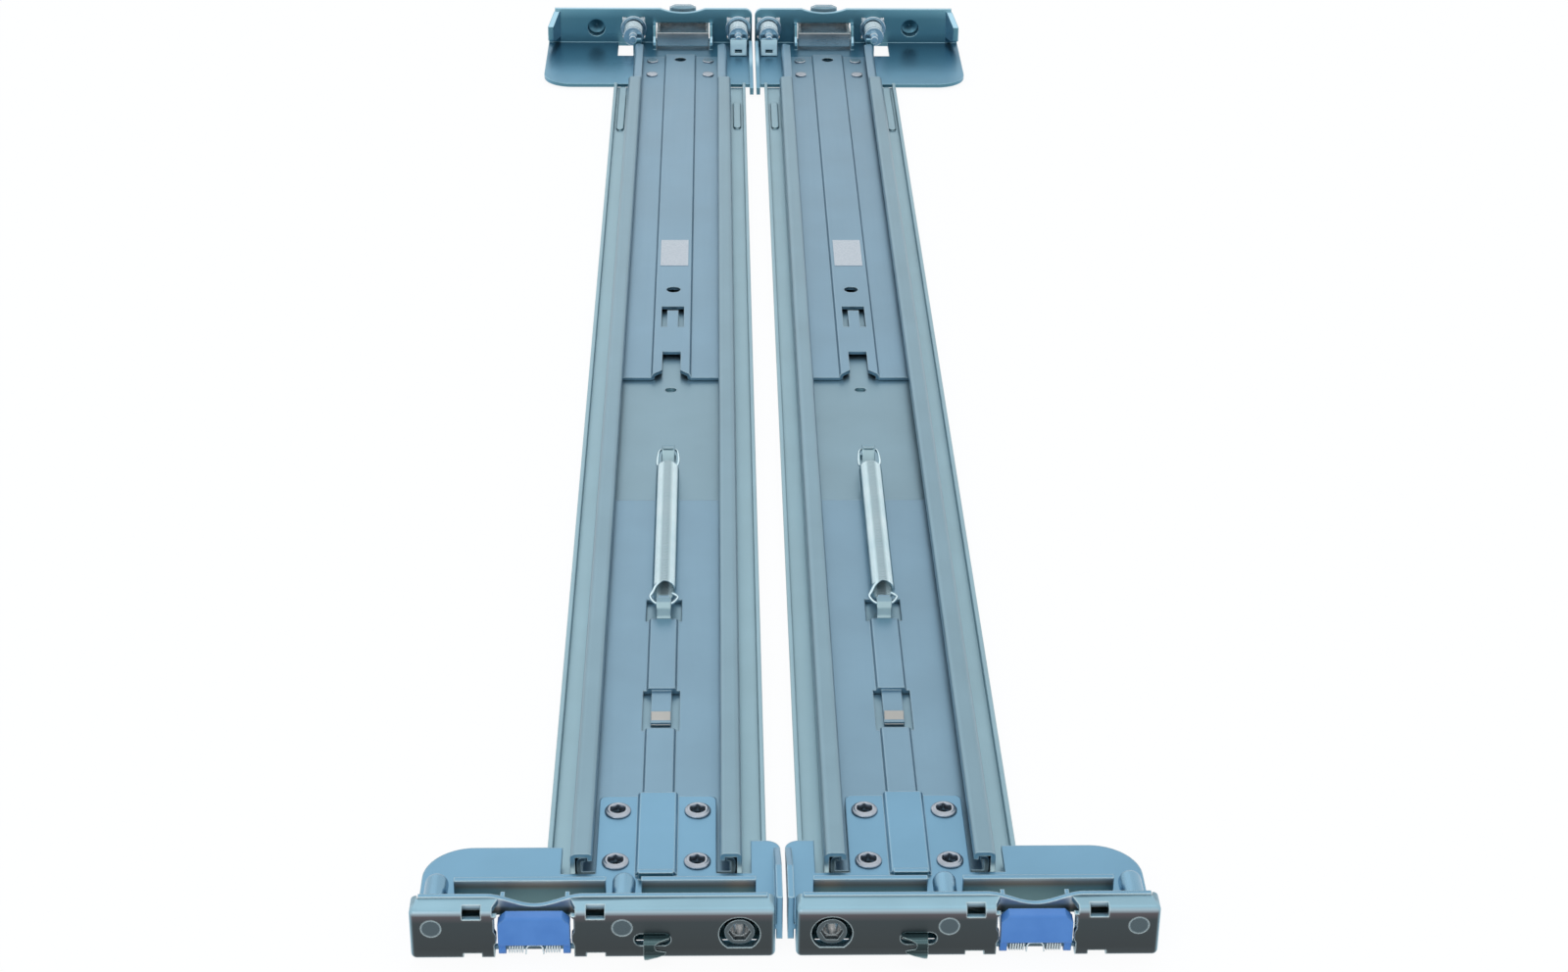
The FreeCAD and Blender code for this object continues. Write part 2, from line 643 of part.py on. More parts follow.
# Front bracket: one folded sheet with tongue, ear, inner tab, upright flange and side flange.
def front_bracket():
    piece = Piece("right_front_bracket")
    tongue, notch = size("front_tongue_half"), size("notch_outer")
    ear, inner = size("ear_outer"), size("inner_edge")
    flange_back = size("flange_front") + plate
    front = size("cover_depth") + stock
    notch_front = size("notch_front")
    strip_back = flange_back + plate
    ear_rear, tab_rear = size("front_ear_rear"), size("front_tab_rear")
    tongue_rear = size("front_tongue_rear")
    outer_leg, inner_leg = size("flange_outer"), size("flange_inner")
    left, right = inner_pin - size("pin_gap"), inner_pin + size("pin_gap")
    piece.add("XY", slide_top, plate, [
        (-inner, front),
        (-inner_leg, front),
        (-inner_leg, flange_back),
        (left, flange_back),
        (left, strip_back),
        (right, strip_back),
        (right, flange_back),
        (outer_leg, flange_back),
        (outer_leg, strip_back),
        (ear, strip_back),
        (ear, ear_rear),
        (notch, ear_rear),
        (notch, notch_front),
        (tongue, notch_front),
        (tongue, tongue_rear),
        (-tongue, tongue_rear),
        (-tongue, notch_front),
        (-notch, notch_front),
        (-notch, tab_rear),
        (-inner, tab_rear),
    ])
    piece.soften(size("ear_corner"), "z", [(ear, ear_rear)])
    piece.soften(size("tab_corner"), "z", [(-inner, tab_rear)])
    piece.soften(2, "z", [(tongue, tongue_rear), (-tongue, tongue_rear)])
    top = size("flange_top")
    piece.add(
        "XZ",
        size("flange_front"),
        plate,
        box(-inner_leg, left, slide_top, top),
        box(right, outer_leg, slide_top, top),
    )
    strip_level = slide_top - size("strip_drop")
    piece.add("XY", strip_level, plate, *[
        box(near, far, front, strip_back + plate) for near, far in ((left, right), (outer_leg, ear))
    ])
    piece.add("XZ", strip_back, plate, *[
        box(near, far, strip_level, bracket_top) for near, far in ((left, right), (outer_leg, ear))
    ])
    side_top = top + 1
    foot, foot_back = size("side_wall_foot"), front + size("side_wall_foot_length")
    piece.add("YZ", -inner, plate, [
        (front, foot),
        (foot_back, foot),
        (foot_back + slide_top - foot, slide_top),
        (tab_rear - size("tab_corner"), slide_top),
        (tab_rear - size("tab_corner"), bracket_top + 0.5),
        (flange_back + 3, side_top),
        (front, side_top),
    ])
    half, rise = size("front_ridge_half"), size("front_ridge_rise")
    ridge_front = notch_front - 1
    piece.add("XY", bracket_top, rise, box(-half, half, ridge_front, tongue_rear))
    inside = half - plate / 2
    piece.cut("XY", slide_top, rise, box(-inside, inside, ridge_front + plate, tongue_rear))
    edges = [(half, bracket_top + rise), (-half, bracket_top + rise)]
    piece.soften(rise * 0.5, "y", edges, "Chamfer")
    lip = half - 0.8
    piece.add("XZ", ridge_front - plate, plate, box(-lip, lip, slide_top, bracket_top + 2))
    for across in (-1, 1):
        for along in ("rivet_front", "rivet_rear"):
            place = (across * size("rivet_half"), size(along), size("rivet_shank"))
            piece.cut_rounds("XY", slide_top, plate, place)
    return piece


# Front rivets: hollow, with a hexagonal bore, through the bracket's tongue and the slide plate.
def front_rivets():
    piece = Piece("right_front_rivets")
    shank_end = slide_floor + slip
    places = [
        (side * size("rivet_half"), size(along))
        for side in (-1, 1)
        for along in ("rivet_front", "rivet_rear")
    ]
    shanks = [(a, b, size("rivet_shank")) for a, b in places]
    heads = [(a, b, size("rivet_head")) for a, b in places]
    piece.add_rounds("XY", shank_end, bracket_top - shank_end, *shanks)
    piece.add_rounds("XY", bracket_top, size("rivet_rise"), *heads)
    half = size("rivet_bore") / 2
    reach = half * 1.1547
    bores = []
    for a, b in places:
        bores.append([
            (a + reach, b),
            (a + reach / 2, b + half),
            (a - reach / 2, b + half),
            (a - reach, b),
            (a - reach / 2, b - half),
            (a + reach / 2, b - half),
        ])
    height = bracket_top + size("rivet_rise") - shank_end
    piece.cut("XY", shank_end, height, *bores)
    return piece


# Cover: a boxed face with folds all round, the latch opening with its cheeks and the other holes.
def front_cover():
    piece = Piece("right_front_cover")
    inner, outer = size("cover_inner"), size("cover_outer")
    height, depth = size("cover_height"), size("cover_depth")
    left, right = -inner - plate, outer + plate
    side = depth + stock
    piece.add("XZ", 0, side, box(left, right, 0, height))
    piece.cut("XZ", plate, side - plate, box(-inner, outer, plate, height - plate))
    piece.cut("XZ", depth, stock, box(-inner, outer, -1, height + 1))
    bend = size("cover_bend")
    piece.soften(bend, "x", [(0, 0), (0, height)])
    piece.soften(bend, "z", [(left, 0), (right, 0)])
    middle, half = size("latch_middle"), size("opening_half")
    cheek_top = size("axle_level") * 2.1
    cheeks = []
    for side in (-1, 1):
        near = middle + side * (half + gap)
        far = near + side * thin()
        low, high = (near, far) if side > 0 else (far, near)
        cheeks.append(box(low, high, 0.5, cheek_top))
    piece.add("XZ", plate / 2, depth - plate / 2, *cheeks)
    ledge = half - 0.9
    waist = height / 2
    piece.cut("XZ", 0, plate, [
        (middle - half, -1),
        (middle + half, -1),
        (middle + half, waist - 3),
        (middle + half - 0.5, waist - 2),
        (middle + half - 0.5, waist),
        (middle + half, waist + 1),
        (middle + half, size("opening_top") - 1),
        (middle + ledge, size("opening_top")),
        (middle - ledge, size("opening_top")),
        (middle - half, size("opening_top") - 1),
        (middle - half, waist + 1),
        (middle - half + 0.5, waist),
        (middle - half + 0.5, waist - 2),
        (middle - half, waist - 3),
    ])
    piece.cut("XZ", 0, depth, box(middle - half, middle + half, -1, plate + 1))
    axle = size("axle") + size("turning_gap") * 2
    pivot = (size("axle_back"), size("axle_level"), axle)
    span = half + gap + thin()
    piece.cut_rounds("YZ", middle - span, span * 2, pivot)
    width, cut_depth = size("fold_window_width") / 2, size("fold_window_depth")
    for place in ("fold_window_outer", "fold_window_inner"):
        at = size(place)
        upper = box(at - width, at + width, height - plate - 1, height + 1)
        lower = box(at - width, at + width, -1, plate + 0.3)
        piece.cut("XZ", 0, cut_depth, upper, lower)
    slot, tall, long = size("slot_middle"), size("slot_height") / 2, size("slot_length") / 2
    level = size("slot_level")
    piece.cut("XZ", 0, plate, box(slot - long, slot + long, level - tall, level + tall))
    ends = [(slot - long, level - tall), (slot + long, level - tall)]
    ends += [(slot - long, level + tall), (slot + long, level + tall)]
    piece.soften(tall * 0.95, "y", ends)
    d_hole(piece)
    for place in (inner_pin, outer_pin):
        piece.cut_rounds("XZ", 0, plate, (place, size("pin_height"), size("front_pin_shank")))
    return piece


def thin():
    return size("thin_stock")


def d_hole(piece):
    """A round hole with a flat bottom, cut through the cover's face."""
    across, level = -size("insert_place"), size("insert_level")
    radius, flat = size("insert_hole") / 2, size("insert_flat")
    run = measure((radius.number ** 2 - flat.number ** 2) ** 0.5)
    centre = FreeCAD.Vector(across.number, level.number, 0)
    sketch = piece.sketch("XZ", 0)
    start = FreeCAD.Vector(across.number + run.number, level.number - flat.number, 0)
    end = FreeCAD.Vector(across.number - run.number, level.number - flat.number, 0)
    top = FreeCAD.Vector(across.number, level.number + radius.number, 0)
    sketch.addGeometry(Part.Arc(start, top, end), False)
    sketch.addGeometry(Part.LineSegment(end, start), False)
    sketch.addConstraint(Sketcher.Constraint("Coincident", 0, 2, 1, 1))
    sketch.addConstraint(Sketcher.Constraint("Coincident", 1, 2, 0, 1))
    sketch.addConstraint(Sketcher.Constraint("Horizontal", 1))
    piece.fix(sketch, "DistanceX", 0, 3, across)
    piece.fix(sketch, "DistanceY", 0, 3, level)
    piece.fix(sketch, "DistanceY", 1, 1, level - flat)
    held = sketch.addConstraint(Sketcher.Constraint("Radius", 0, radius.number))
    sketch.setExpression(f"Constraints[{held}]", radius.formula)
    return piece.feature("Pocket", sketch, "XZ", plate)


# Backing plate: closes the cover from behind, with a finger dip and the window of the latch arms.
def backing_plate():
    piece = Piece("right_backing_plate")
    inner, outer = size("cover_inner") - gap, size("cover_outer") - gap
    low, top = size("backing_bottom"), size("backing_top")
    front = size("cover_depth")
    piece.add("XZ", front, stock, box(-inner, outer, low, top))
    middle = size("latch_middle")
    radius, dip = size("saddle_radius"), size("saddle_dip")
    piece.cut_rounds("XZ", front, stock, (middle, top - dip + radius, radius * 2))
    half = size("opening_half") + gap
    window_top = size("latch_window_top")
    piece.cut("XZ", front, stock, box(middle - half, middle + half, low - 1, window_top))
    for place in (inner_pin, outer_pin):
        piece.cut_rounds("XZ", front, stock, (place, size("pin_height"), size("front_pin_shank")))
    neck = (-size("insert_place"), size("insert_level"), size("insert_neck"))
    piece.cut_rounds("XZ", front, stock, neck)
    return piece


# Front pins: riveted flush in the cover, shouldered on the backing plate, with domed rear ends.
def front_pins():
    piece = Piece("right_front_pins")
    level, end = size("pin_height"), size("front_pin_end")
    wide, shank = size("front_pin"), size("front_pin_shank")
    places = (inner_pin, outer_pin)
    shoulder = size("cover_depth") + stock
    piece.add_rounds("XZ", 0, shoulder, *[(a, level, shank) for a in places])
    piece.add_rounds("XZ", shoulder, end - shoulder, *[(a, level, wide) for a in places])
    rims = [
        f"Edge{number}"
        for number, edge in enumerate(piece.body.Tip.Shape.Edges, start=1)
        if isinstance(edge.Curve, Part.Circle)
        and abs(edge.CenterOfMass.y - end.number) < 0.01
    ]
    dome = piece.body.newObject("PartDesign::Fillet", "right_front_pins_domes")
    dome.Base = (piece.body.Tip if piece.body.Tip != dome else dome.BaseFeature, rims)
    dome.Radius = wide.number * 0.42
    dome.setExpression("Radius", (wide * 0.42).formula)
    doc.recompute()
    return piece


# Lock insert: a round insert seated on the backing plate, with a hexagonal socket and a thread.
def lock_insert():
    piece = Piece("right_lock_insert")
    across, level = -size("insert_place"), size("insert_level")
    face, seat = measure(0.8), size("cover_depth")
    end = face + size("insert_length")
    piece.add_rounds("XZ", face, seat - face, (across, level, size("insert_outer")))
    piece.add_rounds("XZ", seat, end - seat, (across, level, size("insert_neck")))
    half = size("insert_socket") / 2
    reach = half * 1.1547
    piece.cut("XZ", face, 1.6, [
        (across + reach, level),
        (across + reach / 2, level + half),
        (across - reach / 2, level + half),
        (across - reach, level),
        (across - reach / 2, level - half),
        (across + reach / 2, level - half),
    ])
    piece.cut_rounds("XZ", face, end - face, (across, level, size("insert_thread")))
    return piece


# Catch hook: a bent strip behind the cover that comes out through the slot and turns down.
def catch_hook():
    piece = Piece("right_catch_hook")
    width = size("hook_width")
    left = size("slot_middle") - width / 2
    reach, foot, top = size("hook_reach"), size("hook_foot"), size("hook_top")
    upper = size("slot_level") + stock / 2
    lower = upper - stock
    back = plate + stock
    piece.add("YZ", left, width, [
        (plate, top),
        (plate, upper),
        (-reach, upper),
        (-reach, foot),
        (stock * 2 - reach, foot),
        (stock * 2 - reach, foot + stock),
        (stock - reach, foot + stock),
        (stock - reach, lower),
        (back, lower),
        (back, top),
    ])
    piece.soften(stock, "x", [(-reach, upper), (back, lower)])
    return piece


# Release button: a moulded face with bevelled upper corners and two arms that turn on the axle.
def release_button():
    piece = Piece("right_release_button")
    middle, half = size("latch_middle"), size("button_half")
    low, top = size("button_bottom"), size("button_top")
    bevel = size("button_bevel")
    front, thick = -size("button_front"), size("button_thick")
    piece.add("XZ", front, thick, [
        (middle - half, low),
        (middle + half, low),
        (middle + half, top - bevel),
        (middle + half - bevel, top),
        (middle - half + bevel, top),
        (middle - half, top - bevel),
    ])
    arm = size("button_arm")
    pivot_y, pivot_z, hub = size("axle_back"), size("axle_level"), size("hub")
    for start in (middle - half, middle + half - arm):
        piece.add("YZ", start, arm, box(pivot_y - hub / 2, pivot_y, pivot_z, low + 0.5))
        piece.add_rounds("YZ", start, arm, (pivot_y, pivot_z, hub))
    bore = size("axle") + size("turning_gap") * 2
    piece.cut_rounds("YZ", middle - half, half * 2, (pivot_y, pivot_z, bore))
    piece.soften(0.6, "x", [(front, top), (front, low)])
    return piece


# Latch arms: a steel plate behind the button whose two arms reach back behind the backing plate.
def latch_arms():
    piece = Piece("right_latch_arms")
    middle, half = size("latch_middle"), size("button_half")
    face = size("button_thick") - size("button_front")
    low, top = size("button_bottom") + 0.4, size("button_top") - size("button_bevel")
    piece.add("XZ", face, thin(), box(middle - half + gap, middle + half - gap, low, top))
    back, high = size("arm_back"), size("arm_top")
    behind = size("cover_depth") + stock + gap * 2
    window_top = size("latch_window_top") - gap * 2
    for start in (middle - half + gap, middle + half - gap - thin()):
        piece.add("YZ", start, thin(), [
            (face + thin() / 2, low),
            (back, low + 0.6),
            (back, high),
            (behind, high),
            (behind, window_top),
            (face + thin() / 2, window_top),
        ])
    return piece


# Latch axle: a pin through both cheeks of the cover and both hubs of the button.
def latch_axle():
    piece = Piece("right_latch_axle")
    middle = size("latch_middle")
    reach = size("opening_half") + gap + thin()
    pivot = (size("axle_back"), size("axle_level"), size("axle"))
    piece.add_rounds("YZ", middle - reach, reach * 2, pivot)
    return piece


def coil_pair(piece, middle, half, pivot_y, pivot_z, outer, wire, length):
    """Two close-wound coils round an axle, one at each arm, each with a straight leg."""
    for side in (-1, 1):
        inside = middle + side * (half - length / 2) - length / 2
        bore = outer - wire * 2
        piece.add_rounds(
            "YZ", inside, length, (pivot_y, pivot_z, outer), (pivot_y, pivot_z, bore)
        )


# Latch spring: two coils round the axle, joined by a bar that lies against the clip.
def latch_spring():
    piece = Piece("right_latch_spring")
    middle = size("latch_middle")
    half = size("button_half") - size("button_arm") - gap
    pivot_y, pivot_z = size("axle_back"), size("axle_level")
    outer, wire = size("coil"), size("coil_wire")
    coil_pair(piece, middle, half, pivot_y, pivot_z, outer, wire, size("coil_length"))
    reach = half - size("coil_length") / 2
    bar_y = pivot_y + outer / 2 - wire
    piece.add("YZ", middle - reach, reach * 2, box(bar_y, bar_y + wire, pivot_z - wire, pivot_z))
    return piece


# Spring clip: a small bent clip on the axle between the two coils.
def spring_clip():
    piece = Piece("right_spring_clip")
    middle, width = size("latch_middle"), size("clip_width")
    pivot_y, pivot_z = size("axle_back"), size("axle_level")
    reach = size("coil") / 2 - size("coil_wire") - gap
    front = pivot_y - size("coil") / 2
    piece.add(
        "YZ",
        middle - width / 2,
        width,
        box(front, pivot_y + reach, pivot_z - size("coil") / 2 + 0.2, pivot_z + size("coil") / 2),
    )
    bore = size("axle") + size("turning_gap") * 2
    piece.cut_rounds("YZ", middle - width / 2, width, (pivot_y, pivot_z, bore))
    wall = thin() * 0.6
    inside = box(middle - width / 2 + wall, middle + width / 2 - wall, 0, pivot_z + wall)
    piece.cut("XZ", front, size("coil"), inside)
    return piece


# Rear extension: the rear slide, with a wide ridge, a notch, a U-shaped slot and two holes.
def rear_extension():
    piece = Piece("right_rear_extension")
    front, rear = size("extension_front"), size("extension_rear")
    piece.add("XZ", front, rear - front, slide_section())
    bends = [(slide_half, slide_floor), (slide_half, flange_height)]
    piece.soften(size("bend"), "y", bends + [(-a, b) for a, b in bends])
    web_rear = size("extension_web_rear")
    inside = slide_half - size("slide_lip")
    piece.cut("XY", slide_floor, stock, box(-inside, inside, web_rear, rear))
    wide, start = slide_half - size("wide_lip"), size("base_rear") + gap
    corner = size("bend")
    for near, far in ((wide, inside + stock / 2), (-inside - stock / 2, -wide)):
        tip = near if near.number > 0 else far
        root = far if near.number > 0 else near
        piece.add("XY", flange_height - stock, stock, [
            (root, start),
            (tip, start),
            (tip, rear - corner),
            (root, rear),
        ])
    half, rise = size("wide_ridge_half"), size("wide_ridge_rise")
    raise_ridge(piece, half, rise, front, web_rear)
    notch, notch_rear = size("stop_notch_half"), size("stop_notch_rear")
    height = stock + rise
    mouth = front + size("stop_notch_flare")
    piece.cut("XY", slide_floor, height, [
        (-half, front - 1),
        (half, front - 1),
        (half, front),
        (notch, mouth),
        (notch, notch_rear),
        (-notch, notch_rear),
        (-notch, mouth),
        (-half, front),
    ])
    slot, tongue = size("u_slot_half"), size("u_tongue_half")
    slot_front, slot_rear = size("u_slot_front"), size("u_slot_rear")
    tongue_rear = slot_rear - slot + tongue * 0.2
    piece.cut("XY", slide_floor, height, [
        (-slot, slot_front),
        (-tongue, slot_front),
        (-tongue, tongue_rear),
        (tongue, tongue_rear),
        (tongue, slot_front),
        (slot, slot_front),
        (slot, slot_rear),
        (-slot, slot_rear),
    ])
    for place in ("extension_hole_front", "extension_hole_rear"):
        piece.cut_rounds("XY", slide_floor, height, (0, size(place), size("extension_hole")))
    rivets = [
        (side * size("rear_rivet_half"), size(along), size("rear_rivet_shank"))
        for side in (-1, 1)
        for along in ("rear_rivet_front", "rear_rivet_rear")
    ]
    piece.cut_rounds("XY", slide_floor, stock, *rivets)
    return piece


# Rear rivets: four low heads through the extension's web and the bracket's base.
def rear_rivets():
    piece = Piece("right_rear_rivets")
    places = [
        (side * size("rear_rivet_half"), size(along))
        for side in (-1, 1)
        for along in ("rear_rivet_front", "rear_rivet_rear")
    ]
    shanks = [(a, b, size("rear_rivet_shank")) for a, b in places]
    heads = [(a, b, size("rear_rivet_head")) for a, b in places]
    piece.add_rounds("XY", rear_base_floor, slide_top - rear_base_floor, *shanks)
    piece.add_rounds("XY", slide_top, 0.5, *heads)
    return piece


# Blank label: a bare white sticker on the ridge of the extension.
def blank_label():
    piece = Piece("right_blank_label")
    half, front = size("label_width") / 2, size("label_front")
    level = slide_top + size("wide_ridge_rise")
    outline = box(-half, half, front, front + size("label_length"))
    piece.add("XY", level, size("label_thick"), outline)
    return piece


# Rear bracket: base with ear and inner tab, upright plate, lip, side flange and latch cheeks.
def rear_bracket():
    piece = Piece("right_rear_bracket")
    ear, inner = size("ear_outer"), size("inner_edge")
    front, face = size("rear_base_front"), size("rear_face")
    back, top = rear_plate_back, size("rear_top")
    piece.add("XY", rear_base_floor, plate, box(-inner, ear, front, back))
    piece.soften(size("ear_corner"), "z", [(ear, front)])
    outer = size("rear_plate_outer")
    low = rear_base_floor
    piece.add("XZ", face, plate, [
        (-inner, low),
        (ear, low),
        (ear, low + plate + 1.5),
        (outer, low + plate + 4),
        (outer, top),
        (-inner, top),
    ])
    piece.soften(3, "y", [(-inner, top)])
    lip = size("rear_lip")
    flare = size("rear_lip_flare")
    lip_low, lip_high = low + plate + 1, top - 1
    piece.add("XY", lip_low, lip_high - lip_low, [
        (outer - plate * 1.5, face),
        (outer - plate * 1.5 + flare, face - lip),
        (outer + flare, face - lip),
        (outer, face),
    ])
    piece.cut(
        "YZ",
        outer - plate * 2,
        flare + plate * 3,
        [(face - lip - 1, top), (face - lip - 1, top - 6), (face - 1, lip_high), (face - 1, top)],
        [(face - lip - 1, low + plate), (face, low + plate), (face - lip - 1, low + plate + 4)],
    )
    side = size("rear_side")
    piece.add("YZ", -inner, plate, [
        (back - side, low),
        (back, low),
        (back, top - 3),
        (face - 6, low + plate + 4),
        (back - side, low + plate + 1.5),
    ])
    clear = size("collar_rear") + size("collar_flange") / 2
    relief = size("pin_height") - size("collar_flange") / 2 - gap
    piece.cut("YZ", -inner, plate, box(face - clear, face, relief, top))
    left, right = -size("cutout_inner"), size("cutout_outer")
    sill = low + plate
    cheek = size("cheek_length")
    cheek_top = size("cutout_top")
    for start in (left - stock, right):
        piece.add("YZ", start, stock, [
            (face - cheek, sill - 0.5),
            (face, sill - 0.5),
            (face, cheek_top),
            (face - cheek * 0.45, cheek_top),
            (face - cheek * 0.6, sill + 4.5),
            (face - cheek, sill + 2),
        ])
    piece.cut("XZ", face, plate, box(left, right, sill, cheek_top))
    pivot = (face - size("rear_axle_front"), size("rear_axle_level"), size("axle") + 0.1)
    piece.cut_rounds("YZ", left - stock, right - left + stock * 2, pivot)
    middle = (left + right) / 2
    dip_radius = size("saddle_radius") / 2
    piece.cut_rounds(
        "XZ", face, plate, (middle, top - size("saddle_dip") + dip_radius, dip_radius * 2)
    )
    piece.cut_rounds("XZ", face, plate, (open_hole, size("pin_height"), size("rear_hole")))
    half = size("collar") / 2 + size("collar_fit")
    level = size("pin_height")
    for place in (inner_stud, outer_stud):
        piece.cut("XZ", face, plate, box(place - half, place + half, level - half, level + half))
    window_half, at = size("rear_window_width") / 2, size("rear_window_outer")
    window = box(at - window_half, at + window_half, size("rear_window_front"), face - slip)
    piece.cut("XY", low, plate, window)
    lug, lug_top, lug_half = size("lug_front"), size("lug_top"), size("lug_width") / 2
    piece.add(
        "XZ",
        lug,
        plate,
        box(inner_stud - lug_half, inner_stud + lug_half, sill - 0.5, lug_top),
        box(outer_stud - lug_half, at - window_half, sill - 0.5, lug_top),
    )
    piece.soften(1, "y", [(inner_stud - lug_half, lug_top), (inner_stud + lug_half, lug_top)])
    for place in (inner_stud, outer_stud):
        piece.cut_rounds("XZ", lug, plate, (place, level, size("stud_neck")))
    slot = size("lug_slot") / 2
    slot_low = sill + 1.4
    piece.cut("XZ", lug, plate, box(inner_stud - slot, inner_stud + slot, slot_low, slot_low + 1.2))
    rivets = [
        (side * size("rear_rivet_half"), size(along), size("rear_rivet_shank"))
        for side in (-1, 1)
        for along in ("rear_rivet_front", "rear_rivet_rear")
    ]
    piece.cut_rounds("XY", low, plate, *rivets)
    return piece


# Rear studs: staked in the lugs, through the collars and out behind the plate, with conical ends.
def rear_studs():
    piece = Piece("right_rear_studs")
    level = size("pin_height")
    lug, end = size("lug_front"), size("rear_face") + size("stud_length")
    seat = size("stud_seat")
    head = seat - size("stud_head")
    wide = size("collar_spring")
    places = (inner_stud, outer_stud)
    piece.add_rounds("XZ", lug, head - lug, *[(a, level, size("stud_neck")) for a in places])
    piece.add_rounds("XZ", head, seat - head, *[(a, level, wide) for a in places])
    step = size("rear_face") + size("stud_step")
    piece.add_rounds("XZ", seat, step - seat, *[(a, level, size("stud")) for a in places])
    piece.add_rounds("XZ", step, end - step, *[(a, level, size("stud_end")) for a in places])
    rims = [
        f"Edge{number}"
        for number, edge in enumerate(piece.body.Tip.Shape.Edges, start=1)
        if isinstance(edge.Curve, Part.Circle) and abs(edge.CenterOfMass.y - end.number) < 0.01
    ]
    taper = (size("stud_end") - size("stud_tip")) / 2
    base = piece.body.Tip
    item = piece.body.newObject("PartDesign::Chamfer", "right_rear_studs_cones")
    item.Base = (base, rims)
    item.ChamferType = "Two distances"
    item.Size = size("stud_cone").number
    item.setExpression("Size", size("stud_cone").formula)
    item.Size2 = taper.number
    item.setExpression("Size2", taper.formula)
    doc.recompute()
    return piece


def collar(name, place):
    """A square collar that slides on its stud through the plate, with a flange in front of it."""
    piece = Piece(f"right_{name}_collar")
    half, level = size("collar") / 2, size("pin_height")
    face, reach = size("rear_face"), size("collar_rear")
    piece.add(
        "XZ", face, reach, box(place - half, place + half, level - half, level + half)
    )
    corners = [(place + a * half, level + b * half) for a in (-1, 1) for b in (-1, 1)]
    piece.soften(size("collar_corner"), "y", corners)
    piece.add_rounds("XZ", face - stock, stock, (place, level, size("collar_flange")))
    bore = size("stud") + size("turning_gap") * 2
    piece.cut_rounds("XZ", face - stock, reach + stock, (place, level, bore))
    return piece


def collar_spring(name, place):
    """The coil between the head of a stud and the flange of its collar."""
    piece = Piece(f"right_{name}_collar_spring")
    level, outer = size("pin_height"), size("collar_spring")
    front = size("stud_seat")
    length = size("rear_face") - stock - front
    bore = outer - size("collar_wire") * 2
    piece.add_rounds("XZ", front, length, (place, level, outer), (place, level, bore))
    return piece


# Rear latch: a lever with two side arms, cross bars seen through the cut-out and a finger pad
# behind the upright plate.
def rear_latch():
    piece = Piece("right_rear_latch")
    left = size("lever_gap") - size("cutout_inner")
    right = size("cutout_outer") - size("lever_gap")
    face = size("rear_face")
    pivot_y, pivot_z = face - size("rear_axle_front"), size("rear_axle_level")
    hub = size("lever_hub")
    top = size("cutout_top") - gap * 3
    bar = size("bar_height")
    low = pivot_z - hub / 2
    front = pivot_y - size("lever_front")
    for start in (left, right - stock):
        piece.add("YZ", start, stock, [
            (front, low + gap),
            (pad_face + stock / 2, low + gap * 3),
            (pad_face + stock / 2, top - 1.5),
            (front, top - 1),
        ])
    piece.add(
        "XZ",
        front,
        stock,
        box(left, right, top - 1 - bar, top - 1),
        box(left, right, low + gap, low + gap + bar),
    )
    middle = (left + right) / 2
    tab = hub * 0.45
    piece.add("XZ", front, stock / 2, box(left, right, low + gap + bar / 2, top - 1 - bar / 2))
    clip_low = low + gap + bar * 1.5
    piece.add("XZ", front, stock, box(middle - tab, middle + tab, clip_low, top - 1 - bar / 2))
    pad, pad_top = size("pad_half"), size("pad_top")
    shoulder = size("rear_top") - size("saddle_dip") * 2
    piece.add("XZ", pad_face, stock, [
        (left, low + gap * 3),
        (right, low + gap * 3),
        (right, shoulder - 3),
        (middle + pad, shoulder),
        (middle + pad, pad_top - 1),
        (middle + pad * 0.6, pad_top),
        (middle - pad * 0.6, pad_top),
        (middle - pad, pad_top - 1),
        (middle - pad, shoulder),
        (left, shoulder - 3),
    ])
    bore = size("axle") + size("turning_gap") * 2
    piece.cut_rounds("YZ", left, right - left, (pivot_y, pivot_z, bore))
    return piece


# Rear latch axle: a pin through both cheeks of the bracket and both arms of the lever.
def rear_latch_axle():
    piece = Piece("right_rear_latch_axle")
    left = -size("cutout_inner") - stock
    right = size("cutout_outer") + stock
    pivot = (size("rear_face") - size("rear_axle_front"), size("rear_axle_level"), size("axle"))
    piece.add_rounds("YZ", left, right - left, pivot)
    return piece


# Rear latch spring: two coils round the rear axle, inside the arms of the lever.
def rear_latch_spring():
    piece = Piece("right_rear_latch_spring")
    left, right = -size("cutout_inner"), size("cutout_outer")
    middle = (left + right) / 2
    half = (right - left) / 2 - size("lever_gap") - stock - gap
    pivot_y = size("rear_face") - size("rear_axle_front")
    pivot_z = size("rear_axle_level")
    outer, wire = size("coil") - 0.6, size("coil_wire")
    coil_pair(piece, middle, half, pivot_y, pivot_z, outer, wire, size("coil_length"))
    reach = half - size("coil_length") / 2
    bar_z = pivot_z - outer / 2
    piece.add("YZ", middle - reach, reach * 2, box(pivot_y, pivot_y + wire, bar_z, bar_z + wire))
    return piece


pieces = [
    base_channel(),
    guide_channel(),
    front_slide_plate(),
    return_spring(),
    front_bracket(),
    front_rivets(),
    front_cover(),
    backing_plate(),
    front_pins(),
    lock_insert(),
    catch_hook(),
    release_button(),
    latch_arms(),
    latch_axle(),
    latch_spring(),
    spring_clip(),
    rear_extension(),
    rear_rivets(),
    blank_label(),
    rear_bracket(),
    rear_studs(),
    collar("outer", outer_stud),
    collar("inner", inner_stud),
    collar_spring("outer", outer_stud),
    collar_spring("inner", inner_stud),
    rear_latch(),
    rear_latch_axle(),
    rear_latch_spring(),
]

